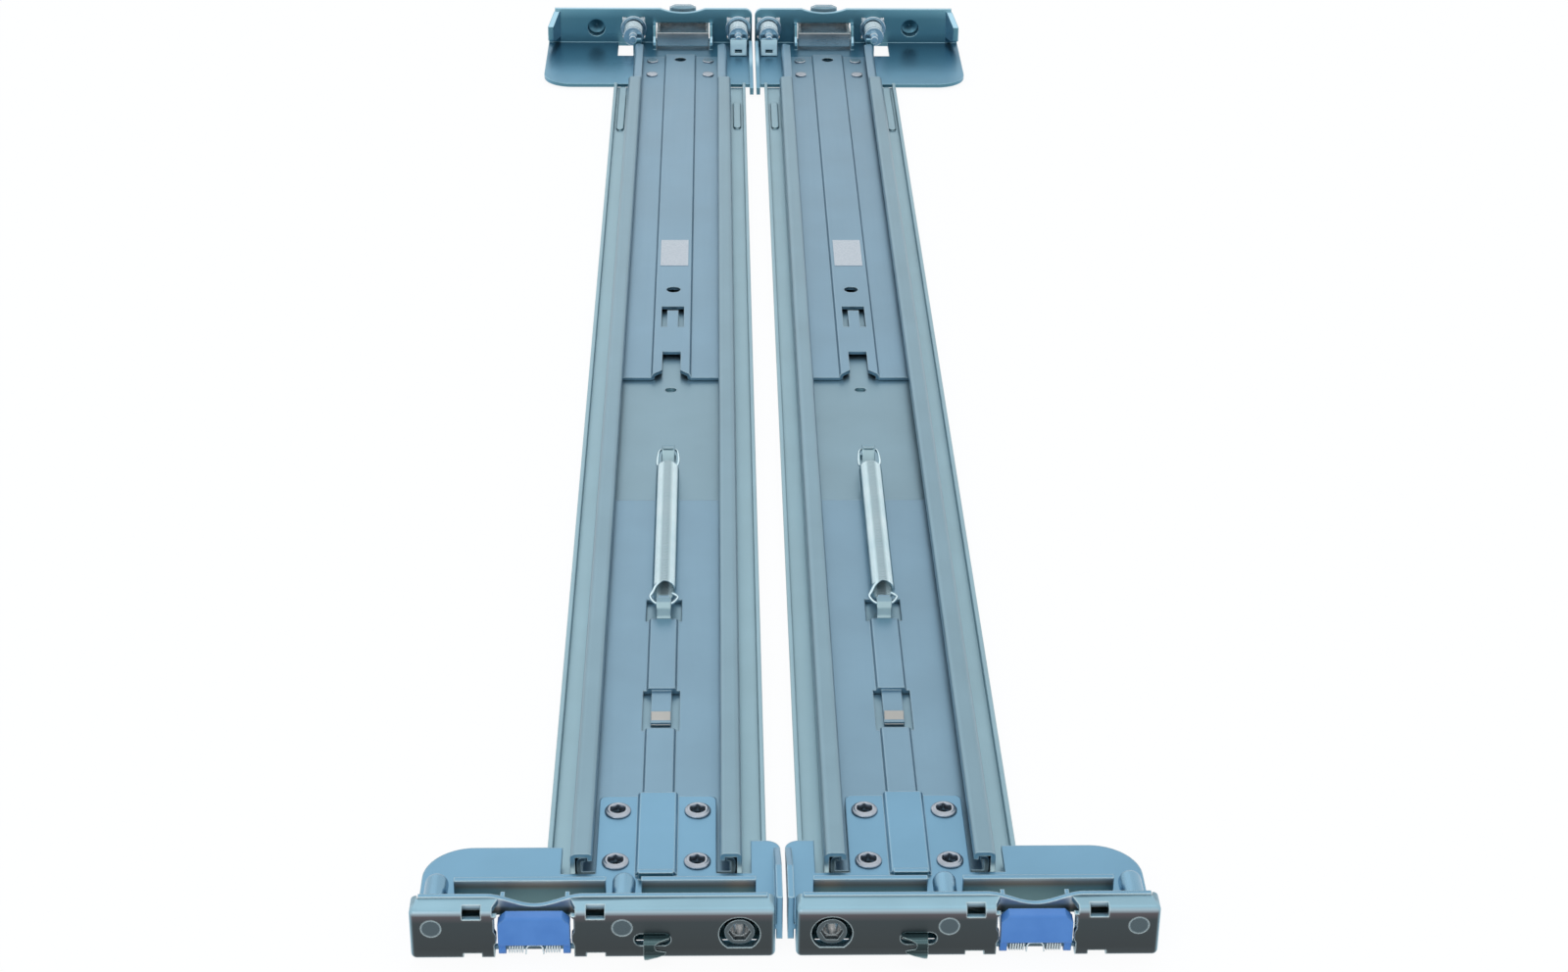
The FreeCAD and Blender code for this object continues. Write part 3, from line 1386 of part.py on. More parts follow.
# The left rail is the mirror image of the right one in the middle plane of the pair.
subparts = [piece.body for piece in pieces]
for piece in pieces:
    label = piece.label.replace("right_", "left_")
    mirror = doc.addObject("Part::Mirroring", label)
    mirror.Label = label
    mirror.Source = piece.body
    mirror.Base = FreeCAD.Vector(0, 0, 0)
    mirror.Normal = FreeCAD.Vector(1, 0, 0)
    subparts.append(mirror)
doc.recompute()

for item in doc.Objects:
    if "Invalid" in item.State or "Error" in item.State:
        raise RuntimeError(f"{item.Name} failed: {item.State}")
for item in subparts:
    if item.Shape.isNull() or not item.Shape.isValid():
        raise RuntimeError(f"{item.Label} has no valid shape")

os.makedirs("parts", exist_ok=True)
for item in subparts:
    item.Shape.exportStep(f"parts/{item.Label}.step")
    print(item.Label, len(item.Shape.Solids), round(item.Shape.Volume, 2))
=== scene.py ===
import math

import bmesh
import bpy
from mathutils import Matrix, Quaternion, Vector


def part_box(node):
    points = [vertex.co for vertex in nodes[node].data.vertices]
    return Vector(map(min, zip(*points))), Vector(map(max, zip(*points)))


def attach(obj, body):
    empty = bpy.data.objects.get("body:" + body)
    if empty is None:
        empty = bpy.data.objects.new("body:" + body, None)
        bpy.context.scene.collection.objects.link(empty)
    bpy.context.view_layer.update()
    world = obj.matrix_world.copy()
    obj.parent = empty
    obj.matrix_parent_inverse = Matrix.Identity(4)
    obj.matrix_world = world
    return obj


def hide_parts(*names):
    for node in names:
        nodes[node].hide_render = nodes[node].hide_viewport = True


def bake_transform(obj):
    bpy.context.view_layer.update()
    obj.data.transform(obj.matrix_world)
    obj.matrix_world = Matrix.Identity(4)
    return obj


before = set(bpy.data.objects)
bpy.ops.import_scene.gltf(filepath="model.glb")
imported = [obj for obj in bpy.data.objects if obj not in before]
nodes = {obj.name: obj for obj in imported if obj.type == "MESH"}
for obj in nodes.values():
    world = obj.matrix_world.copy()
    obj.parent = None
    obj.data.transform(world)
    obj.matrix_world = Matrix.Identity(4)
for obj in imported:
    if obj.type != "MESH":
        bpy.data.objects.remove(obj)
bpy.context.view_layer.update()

scene = bpy.context.scene
SIDES = (("right", 1), ("left", -1))
MM = 0.001
RAIL_CENTRE = 30.8  # mm from the pair's middle to the middle of a rail
FRONT_FACE = 318  # mm from the front face to the middle of the pair's length

# Camera: stands in front of the fronts of both rails, a little left of the middle line, and looks
# down along them with a long lens.
yaw, pitch, roll = math.radians(1.5508), math.radians(28.528), math.radians(0.650)
forward = Vector((
    math.sin(yaw) * math.cos(pitch),
    math.cos(yaw) * math.cos(pitch),
    -math.sin(pitch),
))
camera_data = bpy.data.cameras.new("camera")
camera_data.sensor_width = 36
camera_data.lens = 65.232
camera_data.clip_start = 0.01
camera = bpy.data.objects.new("camera", camera_data)
scene.collection.objects.link(camera)
turn = forward.to_track_quat("-Z", "Y") @ Quaternion((0, 0, 1), roll)
camera.matrix_world = Matrix.Translation((-0.01604, -0.85081, 0.41586)) @ turn.to_matrix().to_4x4()
scene.camera = camera
scene.view_settings.view_transform = "Standard"


class Number:
    """A socket of a shader tree whose maths is written with Python's operators."""

    def __init__(self, finish, socket):
        self.finish = finish
        self.socket = socket

    def maths(self, operation, first, second):
        node = self.finish.add("Math", {"operation": operation}, {0: first, 1: second})
        return node.value("Value")

    def __add__(self, other):
        return self.maths("ADD", self, other)

    def __radd__(self, other):
        return self.maths("ADD", other, self)

    def __sub__(self, other):
        return self.maths("SUBTRACT", self, other)

    def __rsub__(self, other):
        return self.maths("SUBTRACT", other, self)

    def __mul__(self, other):
        return self.maths("MULTIPLY", self, other)

    def __rmul__(self, other):
        return self.maths("MULTIPLY", other, self)

    def between(self, low, high):
        """0 at low, 1 at high, held at both ends."""
        node = self.finish.add("MapRange", {"clamp": True}, {
            "Value": self, "From Min": low, "From Max": high,
        })
        return node.value("Result")


class Placed:
    """A node in a tree, with its outputs by name."""

    def __init__(self, finish, node):
        self.finish = finish
        self.node = node

    def value(self, name):
        return Number(self.finish, self.node.outputs[name])


class Finish:
    """A material and its node tree."""

    def __init__(self, name):
        self.material = bpy.data.materials.new(name)
        self.material.use_nodes = True
        self.tree = self.material.node_tree
        self.tree.nodes.clear()
        self.output = self.tree.nodes.new("ShaderNodeOutputMaterial")

    def add(self, kind, settings=None, inputs=None):
        """Places a node: its settings first, then the values or links of its sockets."""
        node = self.tree.nodes.new(f"ShaderNode{kind}")
        for name, setting in (settings or {}).items():
            setattr(node, name, setting)
        for name, given in (inputs or {}).items():
            if isinstance(given, Number):
                self.tree.links.new(given.socket, node.inputs[name])
            else:
                node.inputs[name].default_value = given
        return Placed(self, node)

    def mix(self, factor, first, second):
        """A colour between two colours."""
        node = self.add("Mix", {"data_type": "RGBA"})
        for index, given in ((0, factor), (6, first), (7, second)):
            if isinstance(given, Number):
                self.tree.links.new(given.socket, node.node.inputs[index])
            else:
                node.node.inputs[index].default_value = given
        return Number(self, node.node.outputs[2])

    def noise(self, where, scale, detail=3.0):
        """Smooth noise from 0 to 1."""
        return self.add("TexNoise", {}, {
            "Vector": where, "Scale": scale, "Detail": detail,
        }).value("Fac")

    def surface(self, shader):
        self.tree.links.new(shader.socket, self.output.inputs["Surface"])


def linear(red, green, blue):
    """A linear colour from three display values of 0 to 255."""
    def curve(level):
        level /= 255
        return level / 12.92 if level <= 0.04045 else ((level + 0.055) / 1.055) ** 2.4
    return (curve(red), curve(green), curve(blue), 1.0)


# Studio: a white floor and a white surround for the camera and in reflections, and soft lamps
# above and behind for the rest.
floor_finish = Finish("floor")
path = floor_finish.add("LightPath")
seen = path.value("Is Camera Ray") + path.value("Is Glossy Ray") + path.value("Is Transmission Ray")
pale = floor_finish.add("BsdfDiffuse", {}, {"Color": (0.86, 0.87, 0.88, 1)}).value("BSDF")
white = floor_finish.add("Emission", {}, {"Color": (1, 1, 1, 1), "Strength": 1.06})
floor_finish.surface(floor_finish.add("MixShader", {}, {
    0: seen.between(0, 1) * 0.88, 1: pale, 2: white.value("Emission"),
}).value("Shader"))
floor_mesh = bpy.data.meshes.new("floor")
reach = 8.0
floor_mesh.from_pydata(
    [(-reach, -reach, 0), (reach, -reach, 0), (reach, reach, 0), (-reach, reach, 0)],
    [],
    [(0, 1, 2, 3)],
)
floor_mesh.materials.append(floor_finish.material)
floor = bpy.data.objects.new("floor", floor_mesh)
floor.location.z = -0.0002
scene.collection.objects.link(floor)

world = bpy.data.worlds.new("surround")
world.use_nodes = True
scene.world = world
sky = world.node_tree
sky.nodes.clear()
light_path = sky.nodes.new("ShaderNodeLightPath")
dim = sky.nodes.new("ShaderNodeBackground")
dim.inputs["Color"].default_value = (0.80, 0.90, 1.0, 1)
dim.inputs["Strength"].default_value = 0.62
bright = sky.nodes.new("ShaderNodeBackground")
bright.inputs["Color"].default_value = (1, 1, 1, 1)
bright.inputs["Strength"].default_value = 1.0
total = None
for name in ("Is Camera Ray", "Is Glossy Ray", "Is Transmission Ray"):
    if total is None:
        total = light_path.outputs[name]
        continue
    add = sky.nodes.new("ShaderNodeMath")
    add.operation = "ADD"
    add.use_clamp = True
    sky.links.new(total, add.inputs[0])
    sky.links.new(light_path.outputs[name], add.inputs[1])
    total = add.outputs[0]
choose = sky.nodes.new("ShaderNodeMixShader")
sky.links.new(total, choose.inputs[0])
sky.links.new(dim.outputs[0], choose.inputs[1])
sky.links.new(bright.outputs[0], choose.inputs[2])
sky_output = sky.nodes.new("ShaderNodeOutputWorld")
sky.links.new(choose.outputs[0], sky_output.inputs[0])

for name, place, size, power in (
    ("overhead", (0.25, 0.1, 1.6), 1.4, 1.5),
    ("back", (-0.5, 1.5, 1.1), 1.2, 1.0),
    ("front", (-0.7, -1.3, 0.9), 0.9, 1.8),
):
    lamp_data = bpy.data.lights.new(name, "AREA")
    lamp_data.size = size
    lamp_data.energy = power
    lamp = bpy.data.objects.new(name, lamp_data)
    lamp.location = place
    lamp.rotation_euler = (Vector((0, 0, 0)) - Vector(place)).to_track_quat("-Z", "Y").to_euler()
    scene.collection.objects.link(lamp)


# Sheet steel: cold rolled sheet, pressed and then plated with bright zinc. Faint rolling lines
# run along it and its colour drifts a little. Bends and cut edges get a painted highlight, and
# grooves and gaps between parts a painted shade from ambient occlusion. Faces that stand up
# towards the front get a painted reflection of the parts before them: front gives its colour from
# low to high, as heights and colours, and beyond gives the axis and the distances from the pair's
# middle where it sets in. fade gives a second colour towards one end, and raised gives one above a
# height; some materials paint reflection or highlight with these too.
def zinc(name, colour, edge, drift=0.10, rough=0.34, along="Y", metal=0.85, front=None, beyond=None,
         fade=None, raised=None, rim=(0.01, 0.16), shade=0.55, bend=0.0006):
    finish = Finish(name)
    where = finish.add("TexCoord").value("Object")
    place = finish.add("SeparateXYZ", {}, {"Vector": where})
    stretch = (900, 25, 900) if along == "Y" else (25, 900, 900)
    lines_place = finish.add("Mapping", {}, {"Vector": where, "Scale": stretch}).value("Vector")
    lines = finish.noise(lines_place, 1.0, 4.0)
    cloud = finish.noise(where, 38.0, 3.0)
    grain = finish.noise(where, 2600.0, 2.0)
    # Painted highlight: where the bevel's rounded normal parts from the flat one, at bends and cut
    # edges, the colour goes towards edge.
    rounded = finish.add("Bevel", {"samples": 6}, {"Radius": bend}).value("Normal")
    flat = finish.add("NewGeometry").value("Normal")
    alike = finish.add("VectorMath", {"operation": "DOT_PRODUCT"}, {0: rounded, 1: flat})
    bright = (1.0 - alike.value("Value")).between(*rim)
    # Painted shade: ambient occlusion darkens grooves and gaps between parts towards the crevice
    # colour, by shade.
    closed = finish.add("AmbientOcclusion", {"samples": 8}, {"Distance": 0.0022}).value("AO")
    dark = tuple(level * (1 - drift) for level in colour[:3]) + (1,)
    light = tuple(min(1.0, level * (1 + drift)) for level in colour[:3]) + (1,)
    body = finish.mix(cloud.between(0.3, 0.7), dark, light)
    body = finish.mix(lines.between(0.35, 0.75) * 0.16, body, light)
    if fade is not None:
        axis, start, end, far = fade
        body = finish.mix(place.value(axis).between(start, end), body, far)
    if raised is not None:
        height, high = raised
        body = finish.mix(place.value("Z").between(height, height + 0.0004), body, high)
    # Painted reflection: faces that look forwards take the front colours by height, as a reflection
    # of the parts before them.
    if front is not None:
        own = finish.add("TexCoord").value("Normal")
        facing = finish.add("VectorMath", {"operation": "DOT_PRODUCT"}, {0: own, 1: (0, -1, 0)})
        upright = facing.value("Value").between(0.55, 0.95)
        level, painted_reflection = front[0]
        for height, next_colour in front[1:]:
            painted_reflection = finish.mix(place.value("Z").between(level, height), painted_reflection, next_colour)
            level = height
        if beyond is not None:
            axis, near, far = beyond
            outward = place.value(axis).maths("ABSOLUTE", place.value(axis), 0)
            upright = upright * outward.between(near, far)
        body = finish.mix(upright, body, painted_reflection)
    # Painted highlight on bends and cut edges, then painted shade in grooves and gaps.
    body = finish.mix(bright * 0.85, body, edge)
    crevice_shade = tuple(value * (1 - shade) for value in colour[:3]) + (1,)
    body = finish.mix((1.0 - closed).between(0.35, 0.95), body, crevice_shade)
    roughness = rough + (cloud - 0.5) * 0.10 + (lines - 0.5) * 0.10
    bump = finish.add("Bump", {}, {
        "Strength": 0.10, "Distance": 0.0002, "Height": grain * 0.4 + lines * 0.6,
        "Normal": rounded,
    }).value("Normal")
    shader = finish.add("BsdfPrincipled", {}, {
        "Base Color": body, "Roughness": roughness, "Metallic": metal, "Normal": bump,
    }).value("BSDF")
    finish.surface(shader)
    return finish.material


def dress(names, material):
    """Gives a material to CAD nodes of both rails."""
    for side, _ in SIDES:
        for name in names:
            node = nodes[f"{side}_{name}"]
            for place in node.material_slots:
                place.material = material


# Channels: the base channel, and the guide channel inside it, two long pressings.
base_zinc = zinc("base zinc", linear(148, 180, 192), linear(190, 216, 220), drift=0.06)
dress(("base_channel",), base_zinc)
# The guide channel's faces that look forwards take a lighter painted reflection.
channel_zinc = zinc(
    "channel zinc", linear(132, 162, 176), linear(180, 206, 214), drift=0.06,
    front=((0.0, linear(176, 204, 210)), (0.0100, linear(176, 204, 210))),
)
dress(("guide_channel",), channel_zinc)

# Slides: the front slide plate and the rear extension, which run in the guide channel.
# Their faces that look forwards, beyond 270 mm from the middle of the pair's length, take a dark
# painted reflection, lighter towards the top.
slide_zinc = zinc(
    "slide zinc", linear(127, 160, 180), linear(172, 200, 210), drift=0.06,
    front=((0.0, linear(56, 72, 78)), (0.0100, linear(84, 104, 112))), beyond=("Y", 0.270, 0.280),
)
dress(("front_slide_plate", "rear_extension"), slide_zinc)

# Front bracket and backing plate: lighter blue plating, rolled across the rail.
# Their faces that look forwards take a painted reflection by height: teal low down, a brown band
# from 10.3 mm, and near white at the top edge.
bracket_zinc = zinc(
    "bracket zinc", linear(121, 166, 193), linear(196, 224, 232), along="X", drift=0.06,
    front=(
        (0.0092, linear(100, 130, 134)), (0.0103, linear(116, 114, 106)),
        (0.0111, linear(150, 146, 142)), (0.0119, linear(214, 222, 224)),
    ),
    beyond=("X", 0.0040, 0.0046),
)
dress(("front_bracket", "backing_plate", "latch_arms"), bracket_zinc)

# Rear bracket: a darker, greener colour than the front bracket. A painted reflection darkens its
# ear towards the upright plate, so it is lighter towards its front edge; its upright faces take a
# painted reflection, lighter towards the top, and faces above 5 mm a light painted highlight.
rear_zinc = zinc(
    "rear zinc", linear(103, 155, 181), linear(164, 206, 220), along="X", rough=0.30,
    front=(
        (0.0030, linear(86, 130, 146)), (0.0070, linear(104, 152, 168)),
        (0.0130, linear(100, 146, 160)), (0.0165, linear(128, 176, 190)),
    ),
    fade=("Y", 0.270, 0.302, linear(76, 122, 146)),
    raised=(0.0050, linear(172, 212, 230)),
)
dress(("rear_bracket",), rear_zinc)

# Rear latch: its faces that look forwards take a light painted reflection with one warmer band; its
# finger pad, above 13.6 mm, is bluer.
latch_zinc = zinc(
    "latch zinc", linear(132, 150, 156), linear(214, 222, 224), along="X", rough=0.26,
    front=(
        (0.0060, linear(206, 216, 220)), (0.0090, linear(182, 176, 172)),
        (0.0130, linear(210, 224, 228)),
    ),
    raised=(0.0136, linear(104, 150, 172)),
)
dress(("rear_latch",), latch_zinc)

# Cover: its faces that look forwards take a dark painted reflection, a little lighter at the
# bottom, with a browner band and a light line towards the top fold; its folds are bright plating,
# and the rims of its openings get a painted highlight.
cover_zinc = zinc(
    "cover zinc", linear(150, 188, 204), linear(216, 236, 240), along="X", rough=0.36,
    front=(
        (0.0, linear(72, 80, 83)), (0.0030, linear(64, 70, 72)), (0.0105, linear(66, 74, 77)),
        (0.0124, linear(92, 88, 92)), (0.0134, linear(170, 190, 200)),
    ),
)
dress(("front_cover",), cover_zinc)

# Turned steel: pins, axles, studs, collars and the threaded insert, plated. The pins' heads lie in
# the cover; their faces that look forwards take a dull painted reflection, and their rims a painted
# highlight.
turned = zinc(
    "turned steel", linear(132, 174, 198), linear(176, 196, 204), rough=0.28,
    front=((0.0, linear(80, 94, 100)), (0.0120, linear(84, 98, 104))), shade=0.4,
)
dress(("front_pins", "latch_axle", "rear_latch_axle"), turned)
stud_steel = zinc(
    "stud steel", linear(176, 200, 214), linear(232, 240, 244), rough=0.20, metal=0.95, drift=0.16,
    shade=0.7,
)
dress(("rear_studs", "outer_collar", "inner_collar"), stud_steel)

# Threaded insert: a dull face with a bright hexagonal socket.
insert_steel = zinc(
    "insert steel", linear(84, 94, 98), linear(190, 204, 208), rough=0.26, bend=0.0004,
    fade=("Y", -0.3160, -0.3155, linear(206, 206, 206)),
)
dress(("lock_insert",), insert_steel)

# Springs, clip and hook: bright drawn wire and strip.
spring_steel = zinc(
    "spring steel", linear(196, 214, 222), linear(238, 244, 246), rough=0.18, metal=0.95,
    shade=0.75,
)
dress(
    (
        "return_spring", "latch_spring", "spring_clip", "catch_hook", "outer_collar_spring",
        "inner_collar_spring", "rear_latch_spring",
    ),
    spring_steel,
)

# Rivets: bright plated, a little pink.
rivet_zinc = zinc(
    "rivet zinc", linear(168, 176, 186), linear(232, 236, 240), rough=0.18, shade=0.85,
)
dress(("front_rivets", "rear_rivets"), rivet_zinc)


# Release button: moulded blue plastic with a fine spark-eroded texture.
blue = Finish("blue plastic")
where = blue.add("TexCoord").value("Object")
grit = blue.noise(where, 3800.0, 2.0)
tone = blue.noise(where, 160.0, 2.0)
blue_colour = blue.mix(tone.between(0.3, 0.7), linear(92, 152, 230), linear(102, 162, 238))
# Painted highlight: edges lighter, where the bevel's rounded normal parts from the flat one.
rounded = blue.add("Bevel", {"samples": 6}, {"Radius": 0.0006}).value("Normal")
flat = blue.add("NewGeometry").value("Normal")
alike = blue.add("VectorMath", {"operation": "DOT_PRODUCT"}, {0: rounded, 1: flat}).value("Value")
blue_colour = blue.mix((1.0 - alike).between(0.02, 0.20) * 0.6, blue_colour, linear(140, 190, 240))
# Painted shade: ambient occlusion darkens crevices and the gaps round the button.
closed = blue.add("AmbientOcclusion", {"samples": 8}, {"Distance": 0.0015}).value("AO")
blue_colour = blue.mix((1.0 - closed).between(0.4, 1.0), blue_colour, linear(30, 60, 120))
blue_bump = blue.add("Bump", {}, {
    "Strength": 0.12, "Distance": 0.0001, "Height": grit, "Normal": rounded,
}).value("Normal")
blue.surface(blue.add("BsdfPrincipled", {}, {
    "Base Color": blue_colour, "Roughness": 0.42 + grit * 0.12, "Normal": blue_bump,
}).value("BSDF"))
dress(("release_button",), blue.material)

# Blank label: bare white paper, faintly fibrous.
paper = Finish("label paper")
where = paper.add("TexCoord").value("Object")
fibre = paper.noise(where, 1500.0, 4.0)
paper_colour = paper.mix(fibre.between(0.35, 0.65), linear(236, 239, 241), linear(250, 251, 252))
paper_bump = paper.add("Bump", {}, {"Strength": 0.08, "Distance": 0.0001, "Height": fibre})
paper.surface(paper.add("BsdfPrincipled", {}, {
    "Base Color": paper_colour, "Roughness": 0.85, "Normal": paper_bump.value("Normal"),
}).value("BSDF"))
dress(("blank_label",), paper.material)


# Coils: drawn wire wound close, one tree for every spring.
def coil_tree():
    tree = bpy.data.node_groups.new("coil", "GeometryNodeTree")
    face = tree.interface
    for name, kind in (
        ("Coil Radius", "NodeSocketFloat"),
        ("Wire Radius", "NodeSocketFloat"),
        ("Length", "NodeSocketFloat"),
        ("Turns", "NodeSocketFloat"),
        ("Material", "NodeSocketMaterial"),
    ):
        face.new_socket(name=name, in_out="INPUT", socket_type=kind)
    face.new_socket(name="Geometry", in_out="OUTPUT", socket_type="NodeSocketGeometry")
    given = tree.nodes.new("NodeGroupInput")
    result = tree.nodes.new("NodeGroupOutput")
    spiral = tree.nodes.new("GeometryNodeCurveSpiral")
    spiral.inputs["Resolution"].default_value = 16
    circle = tree.nodes.new("GeometryNodeCurvePrimitiveCircle")
    circle.inputs["Resolution"].default_value = 8
    sweep = tree.nodes.new("GeometryNodeCurveToMesh")
    sweep.inputs["Fill Caps"].default_value = True
    smooth = tree.nodes.new("GeometryNodeSetShadeSmooth")
    realise = tree.nodes.new("GeometryNodeRealizeInstances")
    paint = tree.nodes.new("GeometryNodeSetMaterial")
    link = tree.links.new
    link(given.outputs["Turns"], spiral.inputs["Rotations"])
    link(given.outputs["Coil Radius"], spiral.inputs["Start Radius"])
    link(given.outputs["Coil Radius"], spiral.inputs["End Radius"])
    link(given.outputs["Length"], spiral.inputs["Height"])
    link(given.outputs["Wire Radius"], circle.inputs["Radius"])
    link(spiral.outputs[0], sweep.inputs["Curve"])
    link(circle.outputs[0], sweep.inputs["Profile Curve"])
    link(sweep.outputs[0], smooth.inputs[0])
    link(smooth.outputs[0], realise.inputs[0])
    link(realise.outputs[0], paint.inputs[0])
    link(given.outputs["Material"], paint.inputs["Material"])
    link(paint.outputs[0], result.inputs["Geometry"])
    return tree


coil_group = coil_tree()


def grown(name, tree, inputs, placing):
    """A plain mesh piece from a tree and its inputs, with its place in its mesh."""
    piece = bpy.data.objects.new(name, bpy.data.meshes.new(name))
    scene.collection.objects.link(piece)
    modifier = piece.modifiers.new("build", "NODES")
    modifier.node_group = tree
    sockets = {item.name: item.identifier for item in tree.interface.items_tree}
    for label, value in inputs.items():
        modifier[sockets[label]] = value
    bpy.context.view_layer.update()
    seen_piece = piece.evaluated_get(bpy.context.evaluated_depsgraph_get())
    mesh = bpy.data.meshes.new_from_object(seen_piece)
    piece.modifiers.remove(modifier)
    piece.data = mesh
    mesh.transform(placing)
    return piece


def wound(name, radius, wire, length, turns, start, along):
    """A close coil from start, along an axis."""
    aim = Vector(along).to_track_quat("Z", "Y").to_matrix().to_4x4()
    return grown(
        name,
        coil_group,
        {
            "Coil Radius": radius, "Wire Radius": wire / 2, "Length": length,
            "Turns": float(turns), "Material": spring_steel,
        },
        Matrix.Translation(start) @ aim,
    )


def wire_piece(name, points, wire, cyclic=False):
    """Round wire bent through points."""
    curve = bpy.data.curves.new(name, "CURVE")
    curve.dimensions = "3D"
    curve.bevel_depth = wire / 2
    curve.bevel_resolution = 3
    curve.resolution_u = 6
    curve.use_fill_caps = True
    spline = curve.splines.new("NURBS")
    spline.points.add(len(points) - 1)
    for point, place in zip(spline.points, points):
        point.co = (*place, 1)
    spline.order_u = 3
    spline.use_endpoint_u = True
    holder = bpy.data.objects.new(name, curve)
    scene.collection.objects.link(holder)
    bpy.context.view_layer.update()
    mesh = bpy.data.meshes.new_from_object(
        holder.evaluated_get(bpy.context.evaluated_depsgraph_get())
    )
    bpy.data.objects.remove(holder)
    mesh.materials.clear()
    mesh.materials.append(spring_steel)
    for polygon in mesh.polygons:
        polygon.use_smooth = True
    piece = bpy.data.objects.new(name, mesh)
    scene.collection.objects.link(piece)
    return piece


def declared(piece, stands_for, rides=None):
    """Hides the CAD nodes that a finished piece stands for and attaches it to the body that carries
    it.
    """
    if rides is not None:
        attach(piece, rides)
    if stands_for:
        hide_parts(*stands_for)


def at(hand, across, along, up):
    """A point of a rail in metres, from mm across its middle, along from its front, and up."""
    return (hand * (RAIL_CENTRE + across) * MM, (along - FRONT_FACE) * MM, up * MM)


# Return spring: an extension spring of bright wire 0.8 mm thick, wound close in 82 turns, with a
# long open loop at each end round the tabs of the slide plate and the guide channel. It runs
# between the channel and the front slide; its rear loop rides on the chassis, and its coil and its
# front loop ride on no body.
WIRE = 0.0008
wire_finish = Finish("return wire")
where = wire_finish.add("TexCoord").value("Object")
place = wire_finish.add("SeparateXYZ", {}, {"Vector": where})
# Mask for the painted reflection down the middle of the coil.
aside = place.value("X").maths("ABSOLUTE", place.value("X"), 0) - 0.0308
middle = aside.maths("ABSOLUTE", aside, 0).between(0.0018, 0.0009)
closed = wire_finish.add("AmbientOcclusion", {"samples": 8}, {"Distance": 0.0006}).value("AO")
drift = wire_finish.noise(where, 90.0, 2.0)
# The wire is painted near white, partly its own bright colour and partly a painted highlight along
# the coil's sides.
wire_colour = wire_finish.mix(drift.between(0.3, 0.7), linear(206, 232, 240), linear(222, 242, 248))
# Painted reflection: a dark band down the middle of the coil, lengthwise.
wire_colour = wire_finish.mix(middle * 0.75, wire_colour, linear(138, 160, 168))
# Painted shade: ambient occlusion darkens the wire between its turns.
wire_colour = wire_finish.mix((1.0 - closed).between(0.25, 0.75), wire_colour, linear(70, 92, 102))
wire_finish.surface(wire_finish.add("BsdfPrincipled", {}, {
    "Base Color": wire_colour, "Roughness": 0.20 + drift * 0.08, "Metallic": 0.95,
}).value("BSDF"))
for side, hand in SIDES:
    low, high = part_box(f"{side}_return_spring")
    middle_x = (low.x + high.x) / 2
    level = (low.z + high.z) / 2
    radius = 0.0031
    coil_front, coil_rear = low.y + 0.0078, high.y - 0.0140
    coil = wound(
        f"{side}_return_coil", radius, WIRE, coil_rear - coil_front, 82,
        (middle_x, coil_front, level), (0, 1, 0),
    )
    pieces = [coil]
    loop = 0.0029 - WIRE / 2
    for end, start, tip, way in (
        ("front", coil_front, low.y, -1), ("rear", coil_rear, high.y, 1),
    ):
        tip -= way * WIRE / 2
        wide = 0.0040 if way < 0 else 0.0034
        points = [
            (middle_x - radius * 0.1, start - way * 0.0008, level + radius * 0.95),
            (middle_x - radius * 0.7, start + way * 0.0004, level + radius * 0.8),
            (middle_x - wide * 0.75, start + way * 0.0014, level + radius * 0.2),
            (middle_x - wide, start + way * 0.0030, level),
            (middle_x - wide * 0.9, tip - way * 0.0026, level),
            (middle_x - loop, tip - way * 0.0004, level),
            (middle_x - loop * 0.5, tip, level),
            (middle_x + loop * 0.5, tip, level),
            (middle_x + loop, tip - way * 0.0004, level),
            (middle_x + wide * 0.9, tip - way * 0.0026, level),
            (middle_x + wide, start + way * 0.0034, level),
            (middle_x + wide * 0.6, start + way * 0.0016, level),
        ]
        pieces.append(wire_piece(f"{side}_return_loop_{end}", points, WIRE))
    for piece in pieces:
        piece.data.materials.clear()
        piece.data.materials.append(wire_finish.material)
    declared(pieces[2], (f"{side}_return_spring",), "chassis")
    for piece in pieces[:2]:
        declared(piece, (f"{side}_return_spring",))
        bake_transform(piece)

# Collar springs: compression springs of 0.8 mm wire, 8.2 mm across, between the heads of the
# studs and the collars, which press them together.
for side, hand in SIDES:
    for name in ("outer_collar", "inner_collar"):
        low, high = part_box(f"{side}_{name}_spring")
        centre = (low + high) / 2
        start, end = (centre.x, low.y + 0.0005, centre.z), (centre.x, high.y - 0.0005, centre.z)
        coil = wound(
            f"{side}_{name}_coil", (high.z - low.z) / 2 - 0.0004, 0.0008, end[1] - start[1], 5.5,
            start, (0, 1, 0),
        )
        declared(coil, (f"{side}_{name}_spring",))
        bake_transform(coil)

